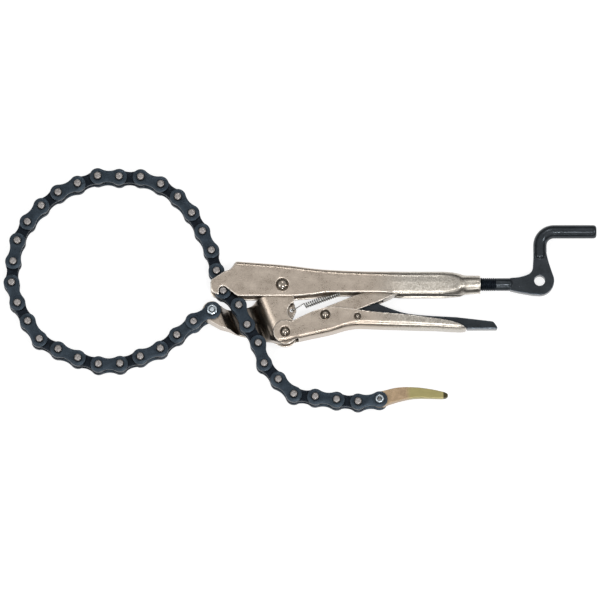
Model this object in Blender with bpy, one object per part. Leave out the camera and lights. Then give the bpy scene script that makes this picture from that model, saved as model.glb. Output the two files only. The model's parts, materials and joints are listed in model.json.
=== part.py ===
"""Locking chain pliers, lying on their side with the chain hooked up in a loop.

Lengths are written in millimetres and turned into metres when a mesh is made.
The drawing origin is the main pivot, where the jaw turns on the frame: +X runs along the
frame to the crank, +Y points away from the lower handle, and +Z goes through the thickness,
with Z = 0 in the plane of symmetry. The last step moves the whole tool so that the centre of
its bounding box's underside is the world origin.
"""
import math

import bmesh
import bpy
import numpy
from mathutils import Matrix, Vector

MM = 0.001
FIT = 0.3  # clearance between pieces that touch
CORNER_STEPS = 3  # facets of a channel's bent corner
PLACES = {}  # where each piece or pivot lies in the drawing, by name

# Chain
PITCH = 15.875
PIN_RADIUS = 2.54
BUSH_RADIUS = 4.0
PLATE_END_RADIUS = 6.1
PLATE_WAIST_RADIUS = 4.2
PLATE_THICKNESS = 1.95
INNER_HALF_WIDTH = 3.0  # middle plane to an inner plate
BORE_CLEARANCE = 0.35  # pin in bush, on the radius

# The chain as it lies: each link's heading in degrees, from the anchor bolt round the loop
LOOP_HEADINGS = (-150, -140, -140, -158, -160, -179, -197, -204, -209, -237, -241, -254,
                 -274, -281, -298, -310, -321, -335, -339, -362, -361, -380, -397, -410,
                 -420, -425, -436, -432)
TAIL_HEADINGS = (-403, -427, -419, -434, -409, -404, -367, -368, -365, -354)
SPIKE_TURN = -6.0

# Pressed channels
WALL = 2.2
CHANNEL_CLEARANCE = 0.4  # outer chain plate to channel wall

# Pivots
JAW_ARM = 35.3  # main pivot to handle pivot
JAW_ARM_ANGLE = -86.6
HANDLE_ARM = 32.3  # handle pivot to toggle pivot
HANDLE_ARM_ANGLE = 23.5
TOGGLE_LENGTH = 60.4
LEVER_PIVOT_REACH = 23.8  # toggle pivot to release lever pivot
LEVER_PIVOT_ANGLE = -3.0
SCREW_AXIS_Y = 1.8
MAIN_RIVET_RADIUS = 3.2
SMALL_RIVET_RADIUS = 2.5
LEVER_RIVET_RADIUS = 1.7
HEAD_RATIO = 1.4  # rivet head to shank
HEAD_HEIGHT = 1.9

# Frame
NOSE_REACH = 52.8
NOSE_TOP = 3.9
SPINE_FRONT = -34.0
SPINE_FRONT_HEIGHT = 17.8
FRAME_LOWER_EDGE = -8.6
HOOK_SETBACK = 9.1  # nose tip back to the hooked pin
HOOK_Y = -4.3
HOOK_CLEARANCE = 0.55
HOOK_RAMP_ANGLE = 52.0
GRIP_HALF_WIDTH = 9.5
GRIP_TOP = 10.5
GRIP_LOW = -7.6
GRIP_START = 84.0
GRIP_END = 122.0
SLEEVE_START = 135.5
SLEEVE_END = 146.3
SLEEVE_RADIUS = 6.35
SEAM_ANGLE = 3.0  # half of the slit under the sleeve, in degrees

# Screw and crank
SCREW_RADIUS = 4.75
SCREW_CLEARANCE = 0.35
SCREW_END = 157.5
SCREW_TIP_RADIUS = 3.2
TOGGLE_TIP_RADIUS = 4.2
TIP_CLEARANCE = 0.9
NECK_RADIUS = 4.7
EYE_REACH = 32.4  # screw's end to eye
EYE_Y = 4.2
EYE_RADIUS = 10.8
EYE_HOLE_RADIUS = 3.95
PADDLE_HALF_THICKNESS = 3.5
CRANK_ROD_RADIUS = 5.0
CRANK_ARM_OFFSET = 0.4  # eye to the arm's centre line
CRANK_BAR_Y = 41.5
CRANK_BAR_REACH = 41.9  # arm's centre line to the bar's end
CRANK_BEND_RADIUS = 10.5

# Jaw
JAW_WALL_OUTER = 7.3
JAW_WALL_INNER = 5.0
JAW_BOSS_RADIUS = 9.3
JAW_FOOT_RADIUS = 9.0
ANCHOR_BOSS_RADIUS = 7.4
VALLEY_FLOOR = -10.3
VALLEY_TILT = 22.0
TAB_HALF_THICKNESS = 1.2

# Anchor
ANCHOR_X = -51.7
ANCHOR_Y = -19.4
ANCHOR_EYE_RADIUS = 6.5
ANCHOR_PLATE_THICKNESS = 2.0
BOLT_SHOULDER_RADIUS = 2.5
BOLT_THREAD_RADIUS = 2.0
NUT_CORNER_RADIUS = 4.05
NUT_HEIGHT = 3.2
BOLT_HEAD_HEIGHT = 2.6

# Lower handle
EAR_RADIUS = 8.9
HANDLE_NECK_HALF_WIDTH = 9.1
HANDLE_END = 135.6

# Toggle, release lever and spring
TOGGLE_HALF_WIDTH = 6.5
TOGGLE_POCKET_HALF_WIDTH = 4.5
LEVER_HALF_WIDTH = 4.2
LEVER_EYE_RADIUS = 4.2
LEVER_HUB_RADIUS = 3.4
SPRING_RADIUS = 1.9
SPRING_WIRE_RADIUS = 0.4
SPRING_COILS = 16
SPRING_HOOK_RADIUS = 2.2
SPRING_HOLE_RADIUS = 1.3
SPRING_TAB_HALF_THICKNESS = 1.0
SPRING_HOLE_X = 6.8
SPRING_HOLE_Y = -17.9
SPRING_ANGLE = 20.3
SPRING_LENGTH = 54.5  # hook to hook

# Feed spike
SPIKE_ROOT_HALF_THICKNESS = 4.8
SPIKE_TIP_HALF_THICKNESS = 2.2
SPIKE_BEVEL = 0.6
EYELET_BORE_RADIUS = 1.6


def polar(origin, radius, angle):
    """Point at a distance and an angle in degrees from an origin."""
    return (
        origin[0] + radius * math.cos(math.radians(angle)),
        origin[1] + radius * math.sin(math.radians(angle)),
    )


# Sizes that follow from the ones above
INNER_PLATE_OUTER = INNER_HALF_WIDTH + PLATE_THICKNESS
OUTER_PLATE_INNER = INNER_PLATE_OUTER + FIT
OUTER_PLATE_OUTER = OUTER_PLATE_INNER + PLATE_THICKNESS
CHANNEL_INNER = OUTER_PLATE_OUTER + CHANNEL_CLEARANCE
CHANNEL_OUTER = CHANNEL_INNER + WALL
PIN_END = CHANNEL_OUTER
BORE_RADIUS = PIN_RADIUS + BORE_CLEARANCE
ANCHOR_PLATE_INNER = JAW_WALL_OUTER + FIT
ANCHOR_PLATE_OUTER = ANCHOR_PLATE_INNER + ANCHOR_PLATE_THICKNESS
HOOK_RADIUS = PIN_RADIUS + HOOK_CLEARANCE
SCREW_BORE_RADIUS = SCREW_RADIUS + SCREW_CLEARANCE
SLEEVE_WALL = SLEEVE_RADIUS - SCREW_BORE_RADIUS

MAIN_PIVOT = (0.0, 0.0)
HANDLE_PIVOT = polar(MAIN_PIVOT, JAW_ARM, JAW_ARM_ANGLE)
TOGGLE_PIVOT = polar(HANDLE_PIVOT, HANDLE_ARM, HANDLE_ARM_ANGLE)
TOGGLE_ANGLE = math.degrees(math.asin((SCREW_AXIS_Y - TOGGLE_PIVOT[1]) / TOGGLE_LENGTH))
TOGGLE_TIP = polar(TOGGLE_PIVOT, TOGGLE_LENGTH, TOGGLE_ANGLE)
LEVER_PIVOT = polar(TOGGLE_PIVOT, LEVER_PIVOT_REACH, LEVER_PIVOT_ANGLE)
ANCHOR = (ANCHOR_X, ANCHOR_Y)
HOOK = (HOOK_SETBACK - NOSE_REACH, HOOK_Y)
SCREW_START = TOGGLE_TIP[0] + TOGGLE_TIP_RADIUS + TIP_CLEARANCE
CRANK_START = SCREW_END + FIT
EYE = (SCREW_END + EYE_REACH, EYE_Y)
CRANK_ARM_X = EYE[0] + CRANK_ARM_OFFSET
CRANK_END = CRANK_ARM_X + CRANK_BAR_REACH


def material(name, color, roughness, metallic):
    """A plain Principled finish."""
    finish = bpy.data.materials.new(name)
    finish.use_nodes = True
    shader = finish.node_tree.nodes["Principled BSDF"]
    shader.inputs["Base Color"].default_value = (*color, 1.0)
    shader.inputs["Roughness"].default_value = roughness
    shader.inputs["Metallic"].default_value = metallic
    return finish


def arc(centre, radius, start, end, steps):
    """Points along an arc, from a start to an end angle in degrees."""
    return [
        polar(centre, radius, start + (end - start) * step / steps)
        for step in range(steps + 1)
    ]


def smooth(points, steps):
    """Points along a Catmull-Rom curve through the given ones."""
    padded = [Vector(points[0]) * 2 - Vector(points[1])]
    padded += [Vector(point) for point in points]
    padded.append(Vector(points[-1]) * 2 - Vector(points[-2]))
    curve = []
    for first, start, end, last in zip(padded, padded[1:], padded[2:], padded[3:]):
        for step in range(steps):
            t = step / steps
            curve.append(
                0.5 * (2 * start + (end - first) * t
                       + (2 * first - 5 * start + 4 * end - last) * t ** 2
                       + (3 * start - first - 3 * end + last) * t ** 3)
            )
    curve.append(padded[-2])
    return [tuple(point) for point in curve]


def mesh_from_loops(name, loops):
    """Closed mesh through equal loops of points, with a flat cap at each end."""
    shell = bmesh.new()
    rings = [[shell.verts.new(point) for point in loop] for loop in loops]
    count = len(rings[0])
    for ring, following in zip(rings, rings[1:]):
        for index in range(count):
            after = (index + 1) % count
            shell.faces.new((ring[index], ring[after], following[after], following[index]))
    shell.faces.new(reversed(rings[0]))
    shell.faces.new(rings[-1])
    bmesh.ops.recalc_face_normals(shell, faces=shell.faces)
    mesh = bpy.data.meshes.new(name)
    shell.to_mesh(mesh)
    shell.free()
    return mesh


def prism(name, outline, low, high):
    """Flat outline given a thickness along Z."""
    return mesh_from_loops(name, [[(x, y, z) for x, y in outline] for z in (low, high)])


def turned(name, profile, centre, sides):
    """Solid turned about an axis along Z, from (radius, height) pairs with radii above 0."""
    loops = []
    for radius, height in profile:
        ring = arc(centre, radius, 180 / sides, 180 / sides + 360, sides)[:-1]
        loops.append([(x, y, height) for x, y in ring])
    return mesh_from_loops(name, loops)


def turned_along_x(name, profile, sides):
    """Solid turned about the screw's axis, from (x, radius) pairs."""
    loops = []
    for x, radius in profile:
        ring = arc((SCREW_AXIS_Y, 0.0), radius, 180 / sides, 180 / sides + 360, sides)[:-1]
        loops.append([(x, y, z) for y, z in ring])
    return mesh_from_loops(name, loops)


def swept(name, path, sides):
    """Round bar along a path of (point, radius) pairs, its rings turned without a twist."""
    loops = []
    side = None
    for index, (point, radius) in enumerate(path):
        before = path[max(index - 1, 0)][0]
        after = path[min(index + 1, len(path) - 1)][0]
        ahead = (after - before).normalized()
        side = ahead.orthogonal() if side is None else side
        side = (side - ahead * side.dot(ahead)).normalized()
        other = ahead.cross(side)
        ring = arc((0.0, 0.0), radius, 180 / sides, 180 / sides + 360, sides)[:-1]
        loops.append([point + side * a + other * b for a, b in ring])
    return mesh_from_loops(name, loops)


def combine(mesh, tool, operation="DIFFERENCE"):
    """One mesh cut by, joined to or kept inside another, which is used up."""
    base_object = bpy.data.objects.new("base", mesh)
    tool_object = bpy.data.objects.new("tool", tool)
    for item in (base_object, tool_object):
        bpy.context.scene.collection.objects.link(item)
    modifier = base_object.modifiers.new("combine", "BOOLEAN")
    modifier.operation = operation
    modifier.object = tool_object
    graph = bpy.context.evaluated_depsgraph_get()
    result = bpy.data.meshes.new_from_object(base_object.evaluated_get(graph))
    bpy.data.objects.remove(base_object)
    bpy.data.objects.remove(tool_object)
    return result


def drill(mesh, centre, radius, sides=12, reach=30.0):
    """Round hole along Z, with flats that clear a pin of the given radius."""
    fitted = radius / math.cos(math.pi / sides)
    return combine(mesh, turned("hole", [(fitted, -reach), (fitted, reach)], centre, sides))


def add(name, mesh, finish, parent, pivot=(0.0, 0.0)):
    """Put a mesh of the drawing in the scene as an object whose origin is on its pivot."""
    mesh.transform(Matrix.Translation((-pivot[0], -pivot[1], 0.0)))
    mesh.transform(Matrix.Scale(MM, 4))
    return add_local(name, mesh, finish, parent, pivot)


def add_local(name, mesh, finish, parent, pivot, angle=0.0):
    """Put a mesh that is drawn in metres about its own pivot in the scene."""
    if not mesh.materials:
        mesh.materials.append(finish)
        mesh.shade_smooth()
        mesh.set_sharp_from_angle(angle=math.radians(35))
    item = bpy.data.objects.new(name, mesh)
    bpy.context.scene.collection.objects.link(item)
    hang(item, parent, pivot, angle)
    return item


def add_pivot(name, parent, pivot, angle=0.0):
    """Empty on a joint's axis, which carries the pieces that turn together."""
    item = bpy.data.objects.new(name, None)
    item.empty_display_size = 0.01
    bpy.context.scene.collection.objects.link(item)
    hang(item, parent, pivot, angle)
    return item


def hang(item, parent, pivot, angle):
    """Parent an item so that it lies at a place of the drawing, turned about Z."""
    place = Matrix.Translation((pivot[0] * MM, pivot[1] * MM, 0.0))
    place = place @ Matrix.Rotation(math.radians(angle), 4, "Z")
    item.parent = parent
    if parent:
        item.matrix_local = PLACES[parent.name].inverted() @ place
    PLACES[item.name] = place


def channel_path(half_width, low, high, top_radius, lip_radius, lip_angle, inset):
    """Half of a channel's section, as (y, z), from the middle of its back to its lip.

    The wall's path is inset from the outer one, which keeps the wall's thickness."""
    lip_start = low + lip_radius * math.sin(math.radians(lip_angle))
    corner = (high - top_radius, half_width - top_radius)
    points = [(high - inset, 0.0)]
    points += [
        (corner[0] + y, corner[1] + z)
        for y, z in arc((0.0, 0.0), top_radius - inset, 0, 90, CORNER_STEPS)
    ]
    straight = (high - top_radius - lip_start) / 2
    bend = (lip_radius - inset) * math.radians(lip_angle)
    for step in range(1, CORNER_STEPS + 1):
        along = (straight + bend) * step / CORNER_STEPS
        if along <= straight:
            points.append((lip_start + straight - along, half_width - inset))
        else:
            turn = (along - straight) / (lip_radius - inset)
            points.append((
                lip_start - (lip_radius - inset) * math.sin(turn),
                half_width - lip_radius + (lip_radius - inset) * math.cos(turn),
            ))
    return points


def channel(name, stations, flip=1.0):
    """Pressed channel through sections along X. Flip -1 turns its back downwards."""
    loops = []
    for x, low, high, half_width, top_radius, lip_radius, lip_angle, wall in stations:
        shape = (half_width, low, high, top_radius, lip_radius, lip_angle)
        outer = channel_path(*shape, 0.0)
        inner = channel_path(*shape, wall)
        loop = [(y, z) for y, z in outer]
        loop += [(y, z) for y, z in reversed(inner)]
        loop += [(y, -z) for y, z in inner[1:]]
        loop += [(y, -z) for y, z in reversed(outer[1:])]
        loops.append([(x, flip * y, z) for y, z in loop])
    return mesh_from_loops(name, loops)


def rivet(name, finish, parent, centre, radius, seat):
    """Round shank through both walls, with a domed head outside each."""
    head = radius * HEAD_RATIO
    bottom = seat + FIT
    dome = [
        (head, bottom),
        (head * 0.92, bottom + HEAD_HEIGHT * 0.5),
        (head * 0.55, bottom + HEAD_HEIGHT),
    ]
    profile = [(r, -z) for r, z in reversed(dome)]
    profile += [(radius, -bottom), (radius, bottom)]
    profile += dome
    mesh = turned(name, profile, centre, 12)
    return add(name, mesh, finish, parent, centre)


def plate_outline(first_radius, steps):
    """Waisted outline of a chain plate from one pin to the next, along X."""
    outline = arc((0.0, 0.0), first_radius, 60, 300, steps)
    outline.append((PITCH / 2, -PLATE_WAIST_RADIUS))
    outline += arc((PITCH, 0.0), PLATE_END_RADIUS, -120, 120, steps)
    outline.append((PITCH / 2, PLATE_WAIST_RADIUS))
    return outline


def pin_mesh(x, reach):
    """Pin whose ends stand out of the plates."""
    return turned("pin", [(PIN_RADIUS, -reach), (PIN_RADIUS, reach)], (x, 0.0), 8)


def plate_pair(inner, outer, first_radius=PLATE_END_RADIUS, steps=5):
    """Two equal plates, one on each side of the middle plane."""
    outline = plate_outline(first_radius, steps)
    near = prism("plate", outline, inner, outer)
    far = prism("plate", outline, -outer, -inner)
    return near, far


def outer_link_mesh(first_pin_end=PIN_END, second_pin=True):
    """Two outer plates on their pins. The pins are pressed in, so the link is one piece."""
    near, far = plate_pair(OUTER_PLATE_INNER, OUTER_PLATE_OUTER)
    mesh = combine(near, pin_mesh(0.0, first_pin_end), "UNION")
    mesh = combine(mesh, far, "UNION")
    if second_pin:
        return combine(mesh, pin_mesh(PITCH, PIN_END), "UNION")
    return drill(mesh, (PITCH, 0.0), PIN_RADIUS + FIT, 8)


def inner_link_mesh():
    """Two inner plates on their bushes, which the neighbours' pins turn in."""
    near, far = plate_pair(INNER_HALF_WIDTH, INNER_PLATE_OUTER, steps=4)
    overlap = PLATE_THICKNESS / 2
    reach = INNER_HALF_WIDTH + overlap
    mesh = near
    for x in (0.0, PITCH):
        bush = turned("bush", [(BUSH_RADIUS, -reach), (BUSH_RADIUS, reach)], (x, 0.0), 6)
        mesh = combine(mesh, bush, "UNION")
    mesh = combine(mesh, far, "UNION")
    for x in (0.0, PITCH):
        mesh = drill(mesh, (x, 0.0), BORE_RADIUS, 6)
    return mesh


def chain_points(headings):
    """Pins of a chain from the anchor, from the headings of its links."""
    points = [ANCHOR]
    for heading in headings:
        points.append(polar(points[-1], PITCH, heading))
    return points


def chain_headings():
    """Headings of all the links. The loop's are changed least to put its last pin on the hook."""
    loop = numpy.radians(LOOP_HEADINGS)
    for _ in range(8):
        reach = PITCH * numpy.array((numpy.cos(loop), numpy.sin(loop)))
        miss = numpy.subtract(HOOK, ANCHOR) - reach.sum(axis=1)
        slope = numpy.array((-reach[1], reach[0]))
        loop = loop + numpy.linalg.pinv(slope) @ miss
    return [*numpy.degrees(loop).tolist(), *TAIL_HEADINGS]


def build_frame(root, nickel):
    """Upper handle: one pressed channel with a hooked nose, a grip and a screw sleeve."""
    low = FRAME_LOWER_EDGE
    wide = CHANNEL_OUTER
    axis = SCREW_AXIS_Y
    ring_low = axis - SLEEVE_RADIUS
    ring_high = axis + SLEEVE_RADIUS
    seam = 90 - SEAM_ANGLE
    round_end = (ring_low, ring_high, SLEEVE_RADIUS, SLEEVE_RADIUS, SLEEVE_RADIUS, seam)
    front = SPINE_FRONT
    stations = [
        (front - 20, low, SPINE_FRONT_HEIGHT + 1.6, wide, 3.0, 3.0, 0, WALL),
        (front, low, SPINE_FRONT_HEIGHT, wide, 3.0, 3.0, 0, WALL),
        (front + 40, low, 14.5, wide, 3.0, 3.0, 0, WALL),
        (front + 55, low + 1.0, 12.6, wide, 3.0, 3.0, 0, WALL),
        (front + 70, low + 2.9, 11.3, wide, 3.2, 3.0, 0, WALL),
        (front + 100, low + 3.0, 10.3, wide, 3.6, 3.0, 0, WALL),
        (GRIP_START - 5, low + 2.4, 10.3, wide, 4.5, 3.5, 20, WALL),
        (GRIP_START + 3, GRIP_LOW + 0.3, GRIP_TOP, wide - 0.2, 5.5, 4.0, 52, WALL),
        (GRIP_START + 12, GRIP_LOW, GRIP_TOP, GRIP_HALF_WIDTH, 6.0, 5.0, 65, WALL),
        (GRIP_END - 4, GRIP_LOW, GRIP_TOP, GRIP_HALF_WIDTH, 6.0, 5.0, 65, WALL),
        (GRIP_END + 3, GRIP_LOW + 0.5, GRIP_TOP - 0.3, GRIP_HALF_WIDTH - 0.4, 6.0, 5.3, 68, 2.1),
        (GRIP_END + 8, ring_low - 1.3, ring_high + 1.2, SLEEVE_RADIUS + 1.8, 6.2, 6.0, 76, 1.8),
        (SLEEVE_START, *round_end, SLEEVE_WALL),
        (SLEEVE_END, *round_end, SLEEVE_WALL),
    ]
    mesh = channel("frame", stations)
    outside = 40.0
    nose = [(front, outside), (front, SPINE_FRONT_HEIGHT)]
    nose += smooth([(front, SPINE_FRONT_HEIGHT), (front - 4.3, 11.9), (front - 9, 9.9)], 3)[1:]
    nose += [(-NOSE_REACH + 0.8, NOSE_TOP)]
    nose += [(-NOSE_REACH, NOSE_TOP - 2.2), (-NOSE_REACH + 0.4, HOOK_Y + 0.6)]
    nose += [(-NOSE_REACH + 3.6, HOOK_Y - 2.4), (HOOK[0] - HOOK_RADIUS, HOOK_Y - 3.2)]
    nose += [(HOOK[0] - HOOK_RADIUS, -outside), (-2 * outside, -outside), (-2 * outside, outside)]
    mesh = combine(mesh, prism("nose cut", nose, -20, 20))
    ramp = polar(HOOK, HOOK_RADIUS, HOOK_RAMP_ANGLE)
    fall = (ramp[1] - low + 2.0) * math.tan(math.radians(HOOK_RAMP_ANGLE))
    seat = [(HOOK[0] - HOOK_RADIUS, low - 2.0)]
    seat += arc(HOOK, HOOK_RADIUS, 180, HOOK_RAMP_ANGLE, 6)
    seat += [(ramp[0] + fall, low - 2.0)]
    mesh = combine(mesh, prism("hook cut", seat, -20, 20))
    hook_point = spring_point(SPRING_LENGTH)
    tab = [
        (hook_point[0] - 2.2, hook_point[1] - 2.2),
        (hook_point[0] + 3.5, hook_point[1] - 2.2),
        (hook_point[0] + 5.5, 9.4),
        (hook_point[0] - 3.0, 9.4),
    ]
    thickness = SPRING_TAB_HALF_THICKNESS
    mesh = combine(mesh, prism("tab", tab, -thickness, thickness), "UNION")
    mesh = drill(mesh, hook_point, SPRING_HOLE_RADIUS, 8, 2.5)
    mesh = drill(mesh, MAIN_PIVOT, MAIN_RIVET_RADIUS + FIT)
    add("frame", mesh, nickel, root)


def spring_point(distance):
    """Point on the spring's axis at a distance from its hole in the jaw."""
    return polar((SPRING_HOLE_X, SPRING_HOLE_Y), distance, SPRING_ANGLE)


def jaw_profile():
    """Section of the jaw across the chain's valley, as (across, z)."""
    outer = JAW_WALL_OUTER
    inner = JAW_WALL_INNER
    floor = VALLEY_FLOOR
    base = floor - WALL
    top = [(-80, outer), (-51.5, outer), (-49.3, outer - 1.2), (-47.6, outer - 5.0)]
    top += [(-44.8, floor + 3.6), (-43.2, floor + 0.8), (-41.8, floor)]
    top += [(-28.2, floor), (-26.2, floor + 0.9), (-24.6, floor + 3.6)]
    top += [(-20.6, outer - 4.0), (-19.2, outer - 1.0), (-17.2, outer)]
    right = [(40, outer), (40, inner), (-16.0, inner), (-17.6, inner - 2.5)]
    right += [(-20.3, -inner + 2.0), (-19.6, -inner), (40, -inner), (40, -outer)]
    under = [(-20.8, -outer), (-23.2, base + 2.6), (-25.2, base + 0.6), (-27.4, base)]
    under += [(-42.6, base), (-45.2, base + 0.9), (-48.6, -outer), (-80, -outer)]
    return top + right + under


def jaw_outline():
    """Side view of the jaw: pivot boss, valley arm, anchor boss and handle foot."""
    boss = ANCHOR_BOSS_RADIUS
    outline = arc(MAIN_PIVOT, JAW_BOSS_RADIUS, -20, 205, 9)
    outline += smooth([(-13.5, -7.6), (-24.7, -13.4), (-38.5, -15.6)], 3)
    outline += arc(ANCHOR, boss, 42, 250, 8)
    outline += smooth([(-45.8, -31.2), (-28.8, -35.6), (-7.7, -40.4)], 2)
    outline += arc(HANDLE_PIVOT, JAW_FOOT_RADIUS, 235, 375, 7)
    outline += arc((SPRING_HOLE_X + 4.4, SPRING_HOLE_Y - 1.6), 7.2, 262, 112, 6)
    outline += [(8.6, -11.5)]
    return outline


def build_jaw(parent, nickel):
    """Lower jaw: a fork on both pivots whose front dips under the chain to the anchor."""
    tilt = Matrix.Rotation(math.radians(VALLEY_TILT), 4, "Z")
    section = jaw_profile()
    loops = []
    for along in (-30.0, 70.0):
        loops.append([tilt @ Vector((across, -along, z)) for across, z in section])
    mesh = mesh_from_loops("jaw", loops)
    mesh = combine(mesh, prism("outline", jaw_outline(), -30, 30), "INTERSECT")
    hole = (SPRING_HOLE_X, SPRING_HOLE_Y)
    tab = [(-17.0, hole[1] + 5.4), (hole[0] + 2.2, hole[1] + 4.9)]
    tab += arc(hole, 3.6, 40, -40, 3)
    tab += [(hole[0] + 1.0, hole[1] - 6.4), (-12.8, hole[1] - 6.4)]
    mesh = combine(mesh, prism("tab", tab, -TAB_HALF_THICKNESS, TAB_HALF_THICKNESS), "UNION")
    mesh = drill(mesh, hole, SPRING_HOLE_RADIUS, 8, 2.5)
    mesh = drill(mesh, MAIN_PIVOT, MAIN_RIVET_RADIUS + FIT)
    mesh = drill(mesh, HANDLE_PIVOT, SMALL_RIVET_RADIUS + FIT)
    mesh = drill(mesh, ANCHOR, BOLT_SHOULDER_RADIUS + FIT)
    add("jaw", mesh, nickel, parent, MAIN_PIVOT)


def build_anchor(jaw_pivot, link_pivot, zinc, black, heading):
    """Bolt and nut through the jaw's boss, and the two plates that turn on the bolt."""
    outer = ANCHOR_PLATE_OUTER
    head = outer + FIT
    sides = 6
    bolt = turned("bolt", [
        (NUT_CORNER_RADIUS - 0.4, -head - BOLT_HEAD_HEIGHT),
        (NUT_CORNER_RADIUS, -head - BOLT_HEAD_HEIGHT + 0.4),
        (NUT_CORNER_RADIUS, -head),
    ], ANCHOR, sides)
    shank = turned("shank", [
        (BOLT_SHOULDER_RADIUS, -head - 1.0),
        (BOLT_SHOULDER_RADIUS, outer),
        (BOLT_THREAD_RADIUS, outer + 0.1),
        (BOLT_THREAD_RADIUS, head + NUT_HEIGHT + 0.3),
        (BOLT_THREAD_RADIUS - 0.5, head + NUT_HEIGHT + 0.8),
    ], ANCHOR, 12)
    bolt = combine(bolt, shank, "UNION")
    add("anchor_bolt", bolt, zinc, jaw_pivot, ANCHOR)
    nut = turned("nut", [
        (NUT_CORNER_RADIUS, head),
        (NUT_CORNER_RADIUS, head + NUT_HEIGHT - 0.4),
        (NUT_CORNER_RADIUS - 0.4, head + NUT_HEIGHT),
    ], ANCHOR, sides)
    nut = drill(nut, ANCHOR, BOLT_THREAD_RADIUS + FIT)
    add("anchor_nut", nut, zinc, jaw_pivot, ANCHOR)
    near, far = plate_pair(ANCHOR_PLATE_INNER, outer, ANCHOR_EYE_RADIUS)
    for side, mesh in (("near", near), ("far", far)):
        mesh = drill(mesh, (0.0, 0.0), BOLT_SHOULDER_RADIUS + FIT)
        mesh = drill(mesh, (PITCH, 0.0), PIN_RADIUS + FIT, 8)
        mesh.transform(Matrix.Scale(MM, 4))
        add_local(f"anchor_plate_{side}", mesh, black, link_pivot, ANCHOR, heading)


def build_spike(parent, finish, steel, pivot, heading):
    """Curved feed spike that turns on a hollow rivet in the last link."""
    top = smooth([(1.0, 6.3), (13.4, 9.3), (26.2, 9.6), (38.0, 8.3), (47.6, 6.3)], 2)
    tip = [(50.2, 4.9), (50.4, 3.0), (48.6, 1.6)]
    under = smooth([(46.0, 1.4), (28.1, 1.9), (17.1, 0.3), (6.1, -2.9), (3.0, -5.4)], 2)
    outline = top + tip + under
    outline += arc((0.0, 0.0), PLATE_END_RADIUS, 285, 105, 6)
    mesh = prism("spike", outline, -SPIKE_ROOT_HALF_THICKNESS, SPIKE_ROOT_HALF_THICKNESS)
    length = max(x for x, _ in outline)
    thin = SPIKE_TIP_HALF_THICKNESS / SPIKE_ROOT_HALF_THICKNESS
    for vertex in mesh.vertices:
        share = max(0.0, vertex.co.x / length)
        vertex.co.z *= 1 - (1 - thin) * share
    mesh = drill(mesh, (0.0, 0.0), PIN_RADIUS + FIT, 8)
    mesh.transform(Matrix.Scale(MM, 4))
    spike = add_local("feed_spike", mesh, finish, parent, pivot, heading)
    edge = spike.modifiers.new("edges", "BEVEL")
    edge.width = SPIKE_BEVEL * MM
    edge.segments = 1
    edge.limit_method = "ANGLE"
    edge.angle_limit = math.radians(50)
    rim = PIN_RADIUS + 0.6
    profile = [
        (rim - 0.4, -PIN_END),
        (rim, -PIN_END + 0.4),
        (rim, -OUTER_PLATE_OUTER - FIT),
        (PIN_RADIUS, -OUTER_PLATE_OUTER - FIT + 0.01),
        (PIN_RADIUS, OUTER_PLATE_OUTER + FIT - 0.01),
        (rim, OUTER_PLATE_OUTER + FIT),
        (rim, PIN_END - 0.4),
        (rim - 0.4, PIN_END),
    ]
    eyelet = turned("eyelet", profile, (0.0, 0.0), 12)
    eyelet = drill(eyelet, (0.0, 0.0), EYELET_BORE_RADIUS, 8)
    eyelet.transform(Matrix.Scale(MM, 4))
    add_local("spike_eyelet", eyelet, steel, parent, pivot, heading)


def build_chain(jaw_pivot, black, steel, zinc, yellow):
    """Anchor plates, outer and inner links in turn, and the spike on the last link.

    Each link hangs from the one before, with its origin on the pin that it turns about."""
    headings = chain_headings()
    points = chain_points(headings)
    outer = outer_link_mesh()
    first = outer_link_mesh(ANCHOR_PLATE_OUTER + FIT + 0.8)
    last = outer_link_mesh(second_pin=False)
    inner = inner_link_mesh()
    for mesh in (outer, first, last, inner):
        mesh.transform(Matrix.Scale(MM, 4))
    link = add_pivot("anchor_link", jaw_pivot, ANCHOR, headings[0])
    build_anchor(jaw_pivot, link, zinc, black, headings[0])
    count = len(headings)
    for number in range(2, count + 1):
        mesh = inner if number % 2 else outer
        if number == 2:
            mesh = first
        if number == count:
            mesh = last
        name = f"chain_link_{number:02d}"
        link = add_local(name, mesh, black, link, points[number - 1], headings[number - 1])
    build_spike(link, yellow, steel, points[count], headings[-1] + SPIKE_TURN)


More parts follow.
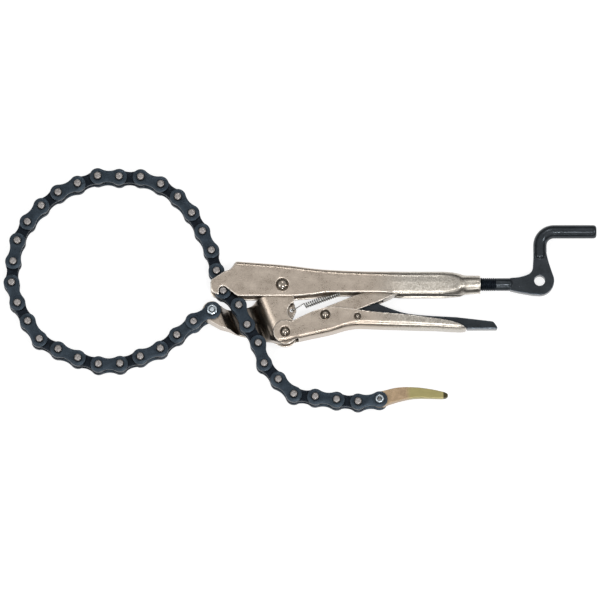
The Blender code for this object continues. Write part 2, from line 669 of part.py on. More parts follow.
def build_handle(parent, nickel):
    """Lower handle: a channel open upwards, with two ears on the jaw's foot."""
    wide = CHANNEL_OUTER
    neck = HANDLE_NECK_HALF_WIDTH
    end = HANDLE_END
    ear_end = HANDLE_PIVOT[0] + JAW_FOOT_RADIUS + 3 * FIT
    stations = [
        (HANDLE_PIVOT[0] - EAR_RADIUS - 1, 20.0, 44.4, wide, 3.0, 3.0, 0, WALL),
        (ear_end - 2.0, 20.0, 41.2, wide, 3.0, 3.0, 0, WALL),
        (ear_end + 0.8, 19.5, 40.2, neck, 3.0, 3.0, 0, WALL),
        (22.0, 15.0, 38.2, neck, 3.0, 3.0, 0, WALL),
        (36.0, 12.0, 35.2, neck, 3.2, 3.0, 0, WALL),
        (48.0, 13.0, 31.8, neck, 3.8, 3.0, 0, WALL),
        (56.0, 17.0, 30.8, neck, 4.4, 3.0, 0, WALL),
        (66.0, 18.5, 31.2, neck, 5.0, 3.0, 0, WALL),
        (87.0, 20.5, 31.9, neck, 5.0, 3.0, 0, WALL),
        (112.0, 23.5, 32.4, neck - 0.2, 4.0, 3.0, 0, WALL),
        (end - 4.0, 25.0, 33.4, neck - 0.8, 3.8, 3.0, 0, WALL),
        (end - 1.2, 25.6, 33.3, neck - 1.5, 3.6, 3.0, 0, WALL),
        (end, 26.6, 32.9, neck - 2.2, 3.4, 3.0, 0, WALL),
    ]
    mesh = channel("handle", stations, flip=-1.0)
    pivot = HANDLE_PIVOT
    upper = [(-30, 0), (-30, -80), (pivot[0] - 4, -80)]
    upper += arc(pivot, EAR_RADIUS, 252, 60, 10)
    upper += smooth([(12.0, -24.6), (20.4, -20.6), (28.6, -17.8), (35.5, -16.6)], 2)
    upper += smooth([(46.0, -17.2), (57.3, -18.9), (72.0, -20.6), (87.0, -21.8)], 2)
    upper += smooth([(103.0, -23.5), (119.0, -25.9), (128.0, -27.9)], 2)
    upper += smooth([(end - 4.0, -29.4), (end - 1.6, -30.8), (end + 0.2, -32.8)], 2)
    upper += [(end + 5, -32.8), (end + 5, 0)]
    mesh = combine(mesh, prism("upper cut", upper, -20, 20))
    mouth = [(-30, -80), (ear_end, -80), (ear_end, 0), (-30, 0)]
    mesh = combine(mesh, prism("mouth cut", mouth, -CHANNEL_INNER, CHANNEL_INNER))
    mesh = drill(mesh, HANDLE_PIVOT, SMALL_RIVET_RADIUS + FIT)
    mesh = drill(mesh, TOGGLE_PIVOT, SMALL_RIVET_RADIUS + FIT)
    mesh = drill(mesh, LEVER_PIVOT, LEVER_RIVET_RADIUS + FIT)
    add("lower_handle", mesh, nickel, parent, HANDLE_PIVOT)


def build_toggle(parent, nickel):
    """Toggle link: a pressed bar, hollow below, whose solid tip bears on the screw."""
    length = TOGGLE_LENGTH
    outline = arc((0.0, 0.0), 5.6, 90, 270, 6)
    outline += smooth([(22.0, -5.8), (length - 14, -6.6), (length - 7, -6.0)], 2)
    outline += arc((length, 0.0), TOGGLE_TIP_RADIUS, -70, 90, 6)
    outline += [(length - 16, 4.7), (24.0, 5.0)]
    half = TOGGLE_HALF_WIDTH
    mesh = prism("toggle", outline, -half, half)
    end = length - 16.5
    pocket = [(11.0, -20), (end, -20), (end, 2.4), (14.0, 2.6), (11.0, -0.5)]
    inside = TOGGLE_POCKET_HALF_WIDTH
    mesh = combine(mesh, prism("pocket", pocket, -inside, inside))
    mesh = drill(mesh, (0.0, 0.0), SMALL_RIVET_RADIUS + FIT)
    mesh.transform(Matrix.Scale(MM, 4))
    add_local("toggle_link", mesh, nickel, parent, TOGGLE_PIVOT, TOGGLE_ANGLE)


def build_lever(parent, black):
    """Release lever: its nose reaches up into the toggle and its tail past the handle."""
    px, py = LEVER_PIVOT
    end = HANDLE_END + 1.0
    outline = arc(LEVER_PIVOT, LEVER_EYE_RADIUS, 150, 270, 4)
    outline += [(px + 24, py - 5.0), (end - 3.0, py - 6.4), (end - 0.5, py - 8.6)]
    outline += [(end + 20.4, py - 8.6), (end + 20.9, py - 8.0)]
    outline += [(end + 18.0, py - 3.6), (end + 16.6, py - 3.0)]
    outline += smooth([(px + 72.6, py + 0.2), (px + 50.9, py + 1.4), (px + 36.4, py + 3.0)], 2)
    outline += smooth([(px + 27.0, py + 5.7), (px + 16.7, py + 10.2), (px + 8.6, py + 14.8)], 2)
    outline += [(px + 5.2, py + 13.6), (px + 1.0, py + 5.0)]
    mesh = prism("lever", outline, -LEVER_HALF_WIDTH, LEVER_HALF_WIDTH)
    side = HANDLE_NECK_HALF_WIDTH - WALL - FIT
    profile = [(LEVER_HUB_RADIUS, -side), (LEVER_HUB_RADIUS, side)]
    hub = turned("hub", profile, LEVER_PIVOT, 12)
    mesh = combine(mesh, hub, "UNION")
    mesh = drill(mesh, LEVER_PIVOT, LEVER_RIVET_RADIUS + FIT)
    add("release_lever", mesh, black, parent, LEVER_PIVOT)


def spring_wire():
    """Centre line of the spring: a hook, a straight lead, the coils and the far hook."""
    direction = Vector(polar((0.0, 0.0), 1.0, SPRING_ANGLE)).to_3d()
    across = Vector((-direction.y, direction.x, 0.0))
    up = Vector((0.0, 0.0, 1.0))
    base = Vector((SPRING_HOLE_X, SPRING_HOLE_Y, 0.0))
    hook = SPRING_HOOK_RADIUS
    lead = 10.6
    tail = 9.0
    coil_end = SPRING_LENGTH - tail

    def loop_point(centre, sense, angle):
        turn = math.radians(angle)
        along = sense * hook * math.cos(turn)
        return centre + direction * along + up * hook * math.sin(turn)

    near_centre = base + direction * hook
    far_centre = base + direction * (SPRING_LENGTH - hook)
    points = [loop_point(near_centre, -1, angle) for angle in range(-120, 121, 30)]
    steps_per_turn = 6
    steps = SPRING_COILS * steps_per_turn
    for step in range(steps + 1):
        angle = math.tau * step / steps_per_turn
        along = lead + (coil_end - lead) * step / steps
        offset = up * SPRING_RADIUS * math.cos(angle) + across * SPRING_RADIUS * math.sin(angle)
        points.append(base + direction * along + offset)
    points += [loop_point(far_centre, 1, angle) for angle in range(120, -121, -30)]
    return points


def build_spring(root, steel):
    """Return spring between the jaw's tab and the frame's tab, as one round wire."""
    path = [(point, SPRING_WIRE_RADIUS) for point in spring_wire()]
    mesh = swept("return_spring", path, 4)
    add("return_spring", mesh, steel, root)


def build_screw(slide, turn, black):
    """Adjusting screw in the sleeve, and the crank that is forged on its outer end."""
    tip = SCREW_TIP_RADIUS
    start = SCREW_START
    mesh = turned_along_x("screw", [
        (start, tip * 0.5),
        (start + 0.6, tip * 0.9),
        (start + 2.0, tip),
        (start + 6.0, tip),
        (start + 7.5, SCREW_RADIUS),
        (SCREW_END, SCREW_RADIUS),
    ], 16)
    add("adjusting_screw", mesh, black, slide, (SCREW_END, SCREW_AXIS_Y))
    pivot = (CRANK_START, SCREW_AXIS_Y)
    add("crank_handle", crank_mesh(), black, turn, pivot)


def crank_mesh():
    """Round bar pressed flat round the eye, then bent up and out to the hand bar."""
    root = EYE[0] - 21.9
    neck_top = SCREW_AXIS_Y + NECK_RADIUS
    neck_low = SCREW_AXIS_Y - NECK_RADIUS
    left = CRANK_ARM_X - CRANK_ROD_RADIUS
    right = CRANK_ARM_X + CRANK_ROD_RADIUS
    outline = smooth([(root, neck_low), (root + 7.7, neck_low - 1.8),
                      (root + 17.0, neck_low - 3.4)], 2)
    outline += arc(EYE, EYE_RADIUS, 265, 385, 7)
    outline += smooth([(right + 2.3, 15.0), (right + 1.0, 19.5), (right - 0.3, 25.0)], 2)
    outline += smooth([(left + 0.3, 25.0), (left - 0.1, 18.0), (left - 0.5, 13.4),
                       (left - 1.9, 10.3), (left - 5.5, 8.2), (root + 6.0, neck_top + 0.2),
                       (root, neck_top - 0.3)], 2)
    flat = PADDLE_HALF_THICKNESS
    mesh = prism("paddle", outline, -flat, flat)
    edges = bmesh.new()
    edges.from_mesh(mesh)
    rims = [
        edge for edge in edges.edges
        if abs(edge.verts[0].co.z - edge.verts[1].co.z) < 0.01
    ]
    bmesh.ops.bevel(edges, geom=rims, offset=1.0, segments=1, affect="EDGES")
    edges.to_mesh(mesh)
    edges.free()
    neck = turned_along_x("neck", [
        (CRANK_START, NECK_RADIUS - 0.5),
        (CRANK_START + 0.5, NECK_RADIUS),
        (root - 1.0, NECK_RADIUS),
        (root + 3.0, flat - 0.2),
    ], 16)
    mesh = combine(mesh, neck, "UNION")
    mesh = combine(mesh, crank_rod(), "UNION")
    return drill(mesh, EYE, EYE_HOLE_RADIUS, 16)


def crank_rod():
    """Upright arm, bend and hand bar as one round rod."""
    bend_centre = (CRANK_ARM_X + CRANK_BEND_RADIUS, CRANK_BAR_Y - CRANK_BEND_RADIUS)
    full = CRANK_ROD_RADIUS
    path = [((CRANK_ARM_X, 19.0), PADDLE_HALF_THICKNESS - 0.2)]
    path.append(((CRANK_ARM_X, 24.5), full))
    path += [(point, full) for point in arc(bend_centre, CRANK_BEND_RADIUS, 180, 90, 6)]
    path.append(((CRANK_END - 0.8, CRANK_BAR_Y), full))
    path.append(((CRANK_END, CRANK_BAR_Y), full - 0.8))
    path = [(Vector((*point, 0.0)), radius) for point, radius in path]
    return swept("rod", path, 16)


def rest_on_origin(root):
    """Move the tool so that its bounding box's bottom centre is the world origin."""
    bpy.context.view_layer.update()
    graph = bpy.context.evaluated_depsgraph_get()
    corners = []
    for item in bpy.data.objects:
        if item.type in {"MESH", "CURVE"}:
            evaluated = item.evaluated_get(graph)
            shape = evaluated.to_mesh()
            corners += [evaluated.matrix_world @ vertex.co for vertex in shape.vertices]
            evaluated.to_mesh_clear()
    low = [min(corner[axis] for corner in corners) for axis in range(3)]
    high = [max(corner[axis] for corner in corners) for axis in range(3)]
    root.location = (-(low[0] + high[0]) / 2, -(low[1] + high[1]) / 2, -low[2])


def main():
    for item in list(bpy.data.objects):
        bpy.data.objects.remove(item)
    nickel = material("nickel plate", (0.52, 0.47, 0.41), 0.32, 1.0)
    chain_black = material("black oxide", (0.028, 0.042, 0.052), 0.42, 0.6)
    forged_black = material("forged black", (0.026, 0.031, 0.038), 0.45, 0.5)
    bright = material("polished steel", (0.62, 0.58, 0.52), 0.2, 1.0)
    zinc = material("bright zinc", (0.58, 0.65, 0.70), 0.28, 1.0)
    yellow = material("yellow zinc", (0.46, 0.40, 0.20), 0.38, 0.9)
    spring_steel = material("spring steel", (0.09, 0.09, 0.09), 0.35, 0.9)

    root = add_pivot("tool", None, MAIN_PIVOT)
    build_frame(root, nickel)
    build_spring(root, spring_steel)
    rivet("main_rivet", bright, root, MAIN_PIVOT, MAIN_RIVET_RADIUS, CHANNEL_OUTER)

    jaw = add_pivot("jaw_pivot", root, MAIN_PIVOT)
    build_jaw(jaw, nickel)
    rivet("handle_rivet", bright, jaw, HANDLE_PIVOT, SMALL_RIVET_RADIUS, CHANNEL_OUTER)
    build_chain(jaw, chain_black, bright, zinc, yellow)

    handle = add_pivot("handle_pivot", jaw, HANDLE_PIVOT)
    build_handle(handle, nickel)
    neck = HANDLE_NECK_HALF_WIDTH
    rivet("toggle_rivet", bright, handle, TOGGLE_PIVOT, SMALL_RIVET_RADIUS, neck)
    rivet("lever_rivet", bright, handle, LEVER_PIVOT, LEVER_RIVET_RADIUS, neck)
    build_toggle(add_pivot("toggle_pivot", handle, TOGGLE_PIVOT), nickel)
    build_lever(add_pivot("lever_pivot", handle, LEVER_PIVOT), forged_black)

    slide = add_pivot("screw_slide", root, (SCREW_END, SCREW_AXIS_Y))
    turn = add_pivot("crank_turn", slide, (CRANK_START, SCREW_AXIS_Y))
    build_screw(slide, turn, forged_black)
    rest_on_origin(root)


main()
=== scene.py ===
"""Locking chain pliers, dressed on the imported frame.

Lengths are millimetres in the tool's own drawing: the main pivot is its origin, +X runs along
the frame to the crank, +Y points away from the lower handle and Z = 0 is the middle plane.
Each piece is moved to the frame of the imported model, in metres, when it is published.
"""
import json
import logging
import math
from collections.abc import Sequence
from dataclasses import astuple, dataclass
from enum import Enum

import bmesh
import bpy
import numpy
from mathutils import Matrix, Vector


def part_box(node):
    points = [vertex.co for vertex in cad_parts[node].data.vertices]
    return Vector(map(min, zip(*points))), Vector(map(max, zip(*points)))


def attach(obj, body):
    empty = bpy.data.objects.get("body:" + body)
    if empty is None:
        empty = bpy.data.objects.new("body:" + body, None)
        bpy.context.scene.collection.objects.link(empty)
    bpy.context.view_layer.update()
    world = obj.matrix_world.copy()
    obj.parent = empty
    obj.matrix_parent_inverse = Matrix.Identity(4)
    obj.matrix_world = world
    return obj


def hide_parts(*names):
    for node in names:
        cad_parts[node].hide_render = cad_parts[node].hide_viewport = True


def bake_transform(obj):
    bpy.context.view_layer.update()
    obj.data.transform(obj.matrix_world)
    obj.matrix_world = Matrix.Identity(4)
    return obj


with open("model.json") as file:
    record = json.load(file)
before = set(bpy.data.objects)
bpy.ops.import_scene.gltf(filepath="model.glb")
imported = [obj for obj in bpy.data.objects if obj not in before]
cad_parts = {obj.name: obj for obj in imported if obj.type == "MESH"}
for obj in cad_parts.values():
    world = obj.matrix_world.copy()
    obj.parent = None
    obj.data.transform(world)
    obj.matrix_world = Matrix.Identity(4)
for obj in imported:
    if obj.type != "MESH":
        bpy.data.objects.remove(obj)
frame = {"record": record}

LOG = logging.getLogger("pliers")
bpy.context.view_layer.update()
MM = 0.001  # metres in a millimetre
MAIN_LOW, MAIN_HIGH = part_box("main_rivet")
ORIGIN = (MAIN_LOW + MAIN_HIGH) / 2

NOISE_SPAN = {"From Min": 0.7, "From Max": 1.3}  # where two noises added together lie
EDGE_SPAN = {"From Min": 0.51, "From Max": 0.57}  # pointiness of a flat face and of an edge
SKY_SPAN = {"From Min": 0.15, "From Max": 0.8}  # open sky over a deep recess and a free face
SPARKLE_SPAN = {"From Min": 0.35, "From Max": 0.65}  # one noise from its darks to its lights
WHITE = "#FFFFFF"
BEND_STEPS = 7  # parts of each bend of a pressed channel
THROUGH = 30.0  # a height past every face of the tool
NUDGE = 0.001  # a distance too small to see

Point = tuple[float, float]
Place = tuple[float, float, float]
Loop = list[Place]
Mesh = bpy.types.Mesh
Object = bpy.types.Object
Material = bpy.types.Material
Tree = bpy.types.NodeTree
Socket = bpy.types.NodeSocket


# --- drawing helpers -------------------------------------------------------------------------


def polar(origin: Point, radius: float, angle: float) -> Point:
    """Gives the point at a distance and an angle in degrees from an origin."""
    turn = math.radians(angle)
    return (origin[0] + radius * math.cos(turn), origin[1] + radius * math.sin(turn))


def arc(centre: Point, radius: float, start: float, end: float, steps: int) -> list[Point]:
    """Gives points along an arc, from a start to an end angle in degrees."""
    return [polar(centre, radius, start + (end - start) * i / steps) for i in range(steps + 1)]


def smooth(points: Sequence[Point], steps: int) -> list[Point]:
    """Gives points along a Catmull-Rom curve.

    Args:
        points: The points that the curve goes through.
        steps: Parts that each span is divided into.

    Returns:
        The curve's points, the first and last given ones among them.
    """
    path = [Vector(point) for point in points]
    path = [path[0] * 2 - path[1], *path, path[-1] * 2 - path[-2]]
    curve = []
    for first, start, end, last in zip(path, path[1:], path[2:], path[3:]):
        for step in range(steps):
            t = step / steps
            curve.append(0.5 * (2 * start + (end - first) * t
                                + (2 * first - 5 * start + 4 * end - last) * t ** 2
                                + (3 * start - first - 3 * end + last) * t ** 3))
    curve.append(path[-2])
    return [tuple(point) for point in curve]


def loft(loops: Sequence[Loop]) -> Mesh:
    """Makes a closed mesh through equal loops of points, with a flat cap at each end."""
    shell = bmesh.new()
    rings = [[shell.verts.new(point) for point in loop] for loop in loops]
    count = len(rings[0])
    for ring, after in zip(rings, rings[1:]):
        for index in range(count):
            other = (index + 1) % count
            shell.faces.new((ring[index], ring[other], after[other], after[index]))
    shell.faces.new(reversed(rings[0]))
    shell.faces.new(rings[-1])
    bmesh.ops.recalc_face_normals(shell, faces=shell.faces)
    mesh = bpy.data.meshes.new("loft")
    shell.to_mesh(mesh)
    shell.free()
    return mesh


def prism(outline: Sequence[Point], low: float, high: float) -> Mesh:
    """Gives a flat outline a thickness along Z."""
    return loft([[(x, y, z) for x, y in outline] for z in (low, high)])


def turned(profile: Sequence[Point], centre: Point, sides: int = 48) -> Mesh:
    """Makes a solid turned about an axis along Z, from (radius, height) pairs."""
    half = 180 / sides
    rings = []
    for radius, height in profile:
        ring = arc(centre, radius, half, half + 360, sides)[:-1]
        rings.append([(x, y, height) for x, y in ring])
    return loft(rings)


def turned_along_x(profile: Sequence[Point], axis_y: float, sides: int = 48) -> Mesh:
    """Makes a solid turned about an axis along X, from (x, radius) pairs."""
    rings = []
    for x, radius in profile:
        ring = arc((axis_y, 0.0), radius, 0, 360, sides)[:-1]
        rings.append([(x, y, z) for y, z in ring])
    return loft(rings)


def swept(path: Sequence[tuple[Vector, float]], sides: int) -> Mesh:
    """Makes a round bar along a path of (point, radius) pairs, its rings without a twist."""
    loops = []
    side = None
    for index, (point, radius) in enumerate(path):
        before = path[max(index - 1, 0)][0]
        after = path[min(index + 1, len(path) - 1)][0]
        ahead = (after - before).normalized()
        side = ahead.orthogonal() if side is None else side
        side = (side - ahead * side.dot(ahead)).normalized()
        other = ahead.cross(side)
        ring = arc((0.0, 0.0), radius, 0, 360, sides)[:-1]
        loops.append([tuple(point + side * a + other * b) for a, b in ring])
    return loft(loops)


class Cut(Enum):
    """How one solid works on another."""

    AWAY = "DIFFERENCE"
    JOIN = "UNION"
    KEEP = "INTERSECT"


def evaluated_mesh(item: Object) -> Mesh:
    """Gives an object's mesh with its modifiers done, and removes the object."""
    graph = bpy.context.evaluated_depsgraph_get()
    mesh = bpy.data.meshes.new_from_object(item.evaluated_get(graph))
    bpy.data.objects.remove(item)
    return mesh


def loose_object(mesh: Mesh) -> Object:
    """Puts a mesh in the scene for the time that its modifiers need."""
    item = bpy.data.objects.new("work", mesh)
    bpy.context.scene.collection.objects.link(item)
    return item


def combine(mesh: Mesh, tool: Mesh, cut: Cut = Cut.AWAY) -> Mesh:
    """Works one mesh on another with a Boolean.

    Args:
        mesh: The solid that is kept.
        tool: The solid that cuts it, is joined to it or bounds it, which is used up.
        cut: Which of these it does.

    Returns:
        The resulting mesh.
    """
    base = loose_object(mesh)
    other = loose_object(tool)
    modifier = base.modifiers.new("combine", "BOOLEAN")
    modifier.operation = cut.value
    modifier.object = other
    result = evaluated_mesh(base)
    bpy.data.objects.remove(other)
    return result


def drill(mesh: Mesh, centre: Point, radius: float, low: float = -THROUGH,
          high: float = THROUGH) -> Mesh:
    """Makes a round hole or a shallow round sink along Z."""
    return combine(mesh, turned([(radius, low), (radius, high)], centre))


def sink(mesh: Mesh, centre: Point, radius: float, face: float, depth: float = 0.9) -> Mesh:
    """Presses a shallow round seat into both outer faces, where a rivet was set."""
    for side in (-1, 1):
        rim, floor = side * (face + 1), side * (face - depth)
        mesh = drill(mesh, centre, radius, min(rim, floor), max(rim, floor))
    return mesh


def soften(mesh: Mesh, grid: float, passes: int = 5) -> Mesh:
    """Melts a mesh into one skin with small rounded edges, as pressing and forging leave them.

    Args:
        mesh: The sharp mesh, which may be made of several shells.
        grid: Spacing of the skin's points in millimetres.
        passes: Rounds of smoothing.

    Returns:
        The skin.
    """
    item = loose_object(mesh)
    melt = item.modifiers.new("melt", "REMESH")
    melt.mode = "VOXEL"
    melt.voxel_size = grid
    ease = item.modifiers.new("ease", "SMOOTH")
    ease.factor = 0.5
    ease.iterations = passes
    return evaluated_mesh(item)


def bevelled(mesh: Mesh, width: float, segments: int = 2, angle: float = 40.0) -> Mesh:
    """Rounds the sharp edges of a clean mesh."""
    item = loose_object(mesh)
    edge = item.modifiers.new("edge", "BEVEL")
    edge.width = width
    edge.segments = segments
    edge.limit_method = "ANGLE"
    edge.angle_limit = math.radians(angle)
    return evaluated_mesh(item)


def joined(meshes: Sequence[Mesh]) -> Mesh:
    """Puts several meshes in one, each shell as it is, with their materials."""
    shell = bmesh.new()
    materials: list[Material] = []
    for mesh in meshes:
        first = len(shell.faces)
        shell.from_mesh(mesh)
        shell.faces.ensure_lookup_table()
        own = list(mesh.materials)
        for face in shell.faces[first:]:
            if own:
                finish = own[face.material_index]
                if finish not in materials:
                    materials.append(finish)
                face.material_index = materials.index(finish)
    result = bpy.data.meshes.new("joined")
    shell.to_mesh(result)
    shell.free()
    for finish in materials:
        result.materials.append(finish)
    return result


def painted(mesh: Mesh, finish: Material) -> Mesh:
    """Gives a whole mesh one finish."""
    mesh.materials.clear()
    mesh.materials.append(finish)
    return mesh


def placed(mesh: Mesh, at: Point, heading: float) -> Mesh:
    """Turns a mesh about Z by a heading in degrees and moves it to a point of the drawing."""
    mesh.transform(Matrix.Translation((*at, 0.0)) @ Matrix.Rotation(math.radians(heading), 4, "Z"))
    return mesh


def publish(name: str, mesh: Mesh, body: str, nodes: Sequence[str],
            sharp: float = 40.0, rides: bool = True) -> Object:
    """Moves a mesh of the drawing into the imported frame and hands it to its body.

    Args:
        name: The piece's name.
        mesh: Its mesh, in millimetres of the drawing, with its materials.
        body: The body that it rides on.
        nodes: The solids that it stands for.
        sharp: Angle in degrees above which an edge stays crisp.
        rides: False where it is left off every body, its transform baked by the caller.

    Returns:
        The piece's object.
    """
    mesh.transform(Matrix.Translation(ORIGIN) @ Matrix.Scale(MM, 4))
    mesh.shade_smooth()
    mesh.set_sharp_from_angle(angle=math.radians(sharp))
    mesh.name = name
    item = bpy.data.objects.new(name, mesh)
    bpy.context.scene.collection.objects.link(item)
    if rides:
        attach(item, body)
    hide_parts(*nodes)
    triangles = sum(len(face.vertices) - 2 for face in mesh.polygons)
    LOG.info("%s rides on %s, %d triangles", name, body, triangles)
    return item


# --- finishes --------------------------------------------------------------------------------


def linear(hex_colour: str) -> tuple[float, float, float, float]:
    """Turns an sRGB hex value such as #A0A0A0 into a linear colour with alpha."""
    parts = [int(hex_colour[i:i + 2], 16) / 255 for i in (1, 3, 5)]
    light = [p / 12.92 if p <= 0.04045 else ((p + 0.055) / 1.055) ** 2.4 for p in parts]
    return (light[0], light[1], light[2], 1.0)


def add_node(tree: Tree, kind: str, inputs: dict[str | int, object] | None = None,
             **settings: object) -> bpy.types.Node:
    """Adds a node with its settings and links.

    Args:
        tree: The tree that it is added to.
        kind: The node's type.
        inputs: Values or output sockets by the name or number of the input.
        **settings: Properties of the node itself.

    Returns:
        The node.
    """
    node = tree.nodes.new(kind)
    for key, value in settings.items():
        setattr(node, key, value)
    for key, value in (inputs or {}).items():
        if isinstance(value, Socket):
            tree.links.new(value, node.inputs[key])
        else:
            node.inputs[key].default_value = value
    return node


@dataclass(frozen=True)
class Finish:
    """Base of the finishes: mottle, grain, lighter edges of wear and painted highlight, painted
    recess shade, a bump.
    """

    name: str = "bare steel"
    light: str = "#B0B0B0"
    dark: str = "#808080"
    # edge colour and its share: part wear, part painted highlight along rounded edges
    edge_wear_and_highlight: str = "#D0D0D0"
    edge_wear_and_highlight_share: float = 0.3
    metallic: float = 1.0
    roughness: float = 0.35
    spread: float = 0.08
    mottle_mm: float = 9.0
    grain_mm: float = 0.7
    stretch: float = 1.0
    relief_mm: float = 0.015
    specular: float = 0.5
    # recess reach, share and colour: painted shade where the surroundings hide the sky
    recess_mm: float = 14.0
    recess_shade_share: float = 0.85
    recess_shade_colour: str = "#1E1B18"

    def build(self) -> Material:
        """Makes the material of this finish."""
        material = bpy.data.materials.new(self.name)
        material.use_nodes = True
        tree = material.node_tree
        shader = tree.nodes["Principled BSDF"]
        shader.inputs["Metallic"].default_value = self.metallic
        shader.inputs["Specular IOR Level"].default_value = self.specular
        place = add_node(tree, "ShaderNodeTexCoord").outputs["Object"]
        drawn = add_node(tree, "ShaderNodeMapping", {
            "Vector": place, "Scale": (1 / self.stretch, 1.0, 1.0)}).outputs["Vector"]
        mottle = add_node(tree, "ShaderNodeTexNoise", {
            "Vector": drawn, "Scale": 1 / (self.mottle_mm * MM), "Detail": 4.0,
            "Roughness": 0.6}).outputs["Fac"]
        grain = add_node(tree, "ShaderNodeTexNoise", {
            "Vector": drawn, "Scale": 1 / (self.grain_mm * MM), "Detail": 3.0,
            "Roughness": 0.65}).outputs["Fac"]
        blend = add_node(tree, "ShaderNodeMath", {0: mottle, 1: grain},
                         operation="ADD").outputs[0]
        share = add_node(tree, "ShaderNodeMapRange", {
            "Value": blend, **NOISE_SPAN}).outputs["Result"]
        colour = add_node(tree, "ShaderNodeMix", {
            0: share, 6: linear(self.dark), 7: linear(self.light)}, data_type="RGBA").outputs[2]
        colour = self.tinted(tree, place, colour)
        # Pointiness lightens the edges: part wear, part painted highlight.
        edge = add_node(tree, "ShaderNodeNewGeometry").outputs["Pointiness"]
        rubbed = add_node(tree, "ShaderNodeMapRange", {
            "Value": edge, **EDGE_SPAN, "To Max": self.edge_wear_and_highlight_share}).outputs["Result"]
        colour = add_node(tree, "ShaderNodeMix", {
            0: rubbed, 6: colour, 7: linear(self.edge_wear_and_highlight)}, data_type="RGBA").outputs[2]
        # Ambient occlusion darkens recesses: painted shade.
        open_sky = add_node(tree, "ShaderNodeAmbientOcclusion", {
            "Distance": self.recess_mm * MM}, samples=12).outputs["AO"]
        recess_shade_mask = add_node(tree, "ShaderNodeMapRange", {
            "Value": open_sky, **SKY_SPAN, "To Min": self.recess_shade_share,
            "To Max": 0.0}).outputs["Result"]
        colour = add_node(tree, "ShaderNodeMix", {
            0: recess_shade_mask, 6: colour, 7: linear(self.recess_shade_colour)}, data_type="RGBA").outputs[2]
        tree.links.new(colour, shader.inputs["Base Color"])
        rough = add_node(tree, "ShaderNodeMapRange", {
            "Value": blend, **NOISE_SPAN, "To Min": self.roughness - self.spread,
            "To Max": self.roughness + self.spread}).outputs["Result"]
        tree.links.new(rough, shader.inputs["Roughness"])
        bump = add_node(tree, "ShaderNodeBump", {
            "Height": grain, "Strength": 1.0, "Distance": self.relief_mm * MM})
        tree.links.new(bump.outputs["Normal"], shader.inputs["Normal"])
        return material

    def tinted(self, tree: Tree, place: Socket, colour: Socket) -> Socket:
        """Changes the colour where a finish has more than its mottle. Here it has not."""
        return colour


@dataclass(frozen=True)
class SatinNickel(Finish):
    """Dull nickel over pressed steel: warm grey, with the grain of the sheet showing through."""

    name: str = "satin nickel plate"
    light: str = "#CDC0B2"
    dark: str = "#AA9D8F"
    # near-white edges: painted highlight along with wear
    edge_wear_and_highlight: str = "#FFFAF2"
    edge_wear_and_highlight_share: float = 0.9
    roughness: float = 0.32
    mottle_mm: float = 7.0
    grain_mm: float = 0.8
    stretch: float = 1.4
    relief_mm: float = 0.022
    recess_mm: float = 11.0
    recess_shade_share: float = 0.8
    rubbed_light: str = "#CDC8BF"
    rubbed_dark: str = "#A09A90"
    rubbed_share: float = 0.9
    rubbed_from: float = 60.0
    rubbed_to: float = 96.0
    sparkle_mm: float = 1.1

    def tinted(self, tree: Tree, place: Socket, colour: Socket) -> Socket:
        """Lightens the grips, where hands have rubbed the plating to a cooler tone."""
        along = add_node(tree, "ShaderNodeSeparateXYZ", {"Vector": place}).outputs["X"]
        held = add_node(tree, "ShaderNodeMapRange", {
            "Value": along, "From Min": ORIGIN.x + self.rubbed_from * MM,
            "From Max": ORIGIN.x + self.rubbed_to * MM, "To Max": self.rubbed_share},
            interpolation_type="SMOOTHSTEP").outputs["Result"]
        sparkle = add_node(tree, "ShaderNodeTexNoise", {
            "Vector": place, "Scale": 1 / (self.sparkle_mm * MM),
            "Detail": 2.0}).outputs["Fac"]
        bright = add_node(tree, "ShaderNodeMapRange", {
            "Value": sparkle, **SPARKLE_SPAN}).outputs["Result"]
        tone = add_node(tree, "ShaderNodeMix", {
            0: bright, 6: linear(self.rubbed_dark), 7: linear(self.rubbed_light)},
            data_type="RGBA").outputs[2]
        return add_node(tree, "ShaderNodeMix", {0: held, 6: colour, 7: tone},
                        data_type="RGBA").outputs[2]


@dataclass(frozen=True)
class RivetSteel(Finish):
    """Nickelled rivet heads, burnished by the setting tool: sharp small lights on a dark dome."""

    name: str = "burnished rivet"
    light: str = "#B3A99D"
    dark: str = "#857B70"
    edge_wear_and_highlight: str = "#F4F0E8"
    edge_wear_and_highlight_share: float = 0.1
    roughness: float = 0.15
    spread: float = 0.05
    mottle_mm: float = 3.0
    relief_mm: float = 0.01
    recess_mm: float = 1.0
    recess_shade_share: float = 0.8
    recess_shade_colour: str = "#241F1A"


@dataclass(frozen=True)
class BlackOxide(Finish):
    """Oiled black oxide on punched plates: slate blue-black, its rims lighter by wear and painted
    highlight.
    """

    name: str = "oiled black oxide"
    light: str = "#37424C"
    dark: str = "#232B33"
    edge_wear_and_highlight: str = "#6E7C88"
    edge_wear_and_highlight_share: float = 0.22
    metallic: float = 0.6
    specular: float = 0.2
    roughness: float = 0.36
    spread: float = 0.1
    mottle_mm: float = 5.0
    grain_mm: float = 0.8
    relief_mm: float = 0.014
    recess_mm: float = 6.0
    recess_shade_share: float = 0.95
    recess_shade_colour: str = "#07090C"


@dataclass(frozen=True)
class ShadedOxide(BlackOxide):
    """Darker oxide: painted shade on the inner links under the outer plates and in the eyelet's
    bore; the screw's black.
    """

    name: str = "oil-wet black oxide"
    light: str = "#1E2630"
    dark: str = "#0E1319"
    edge_wear_and_highlight: str = "#4A5764"
    edge_wear_and_highlight_share: float = 0.15
    roughness: float = 0.3


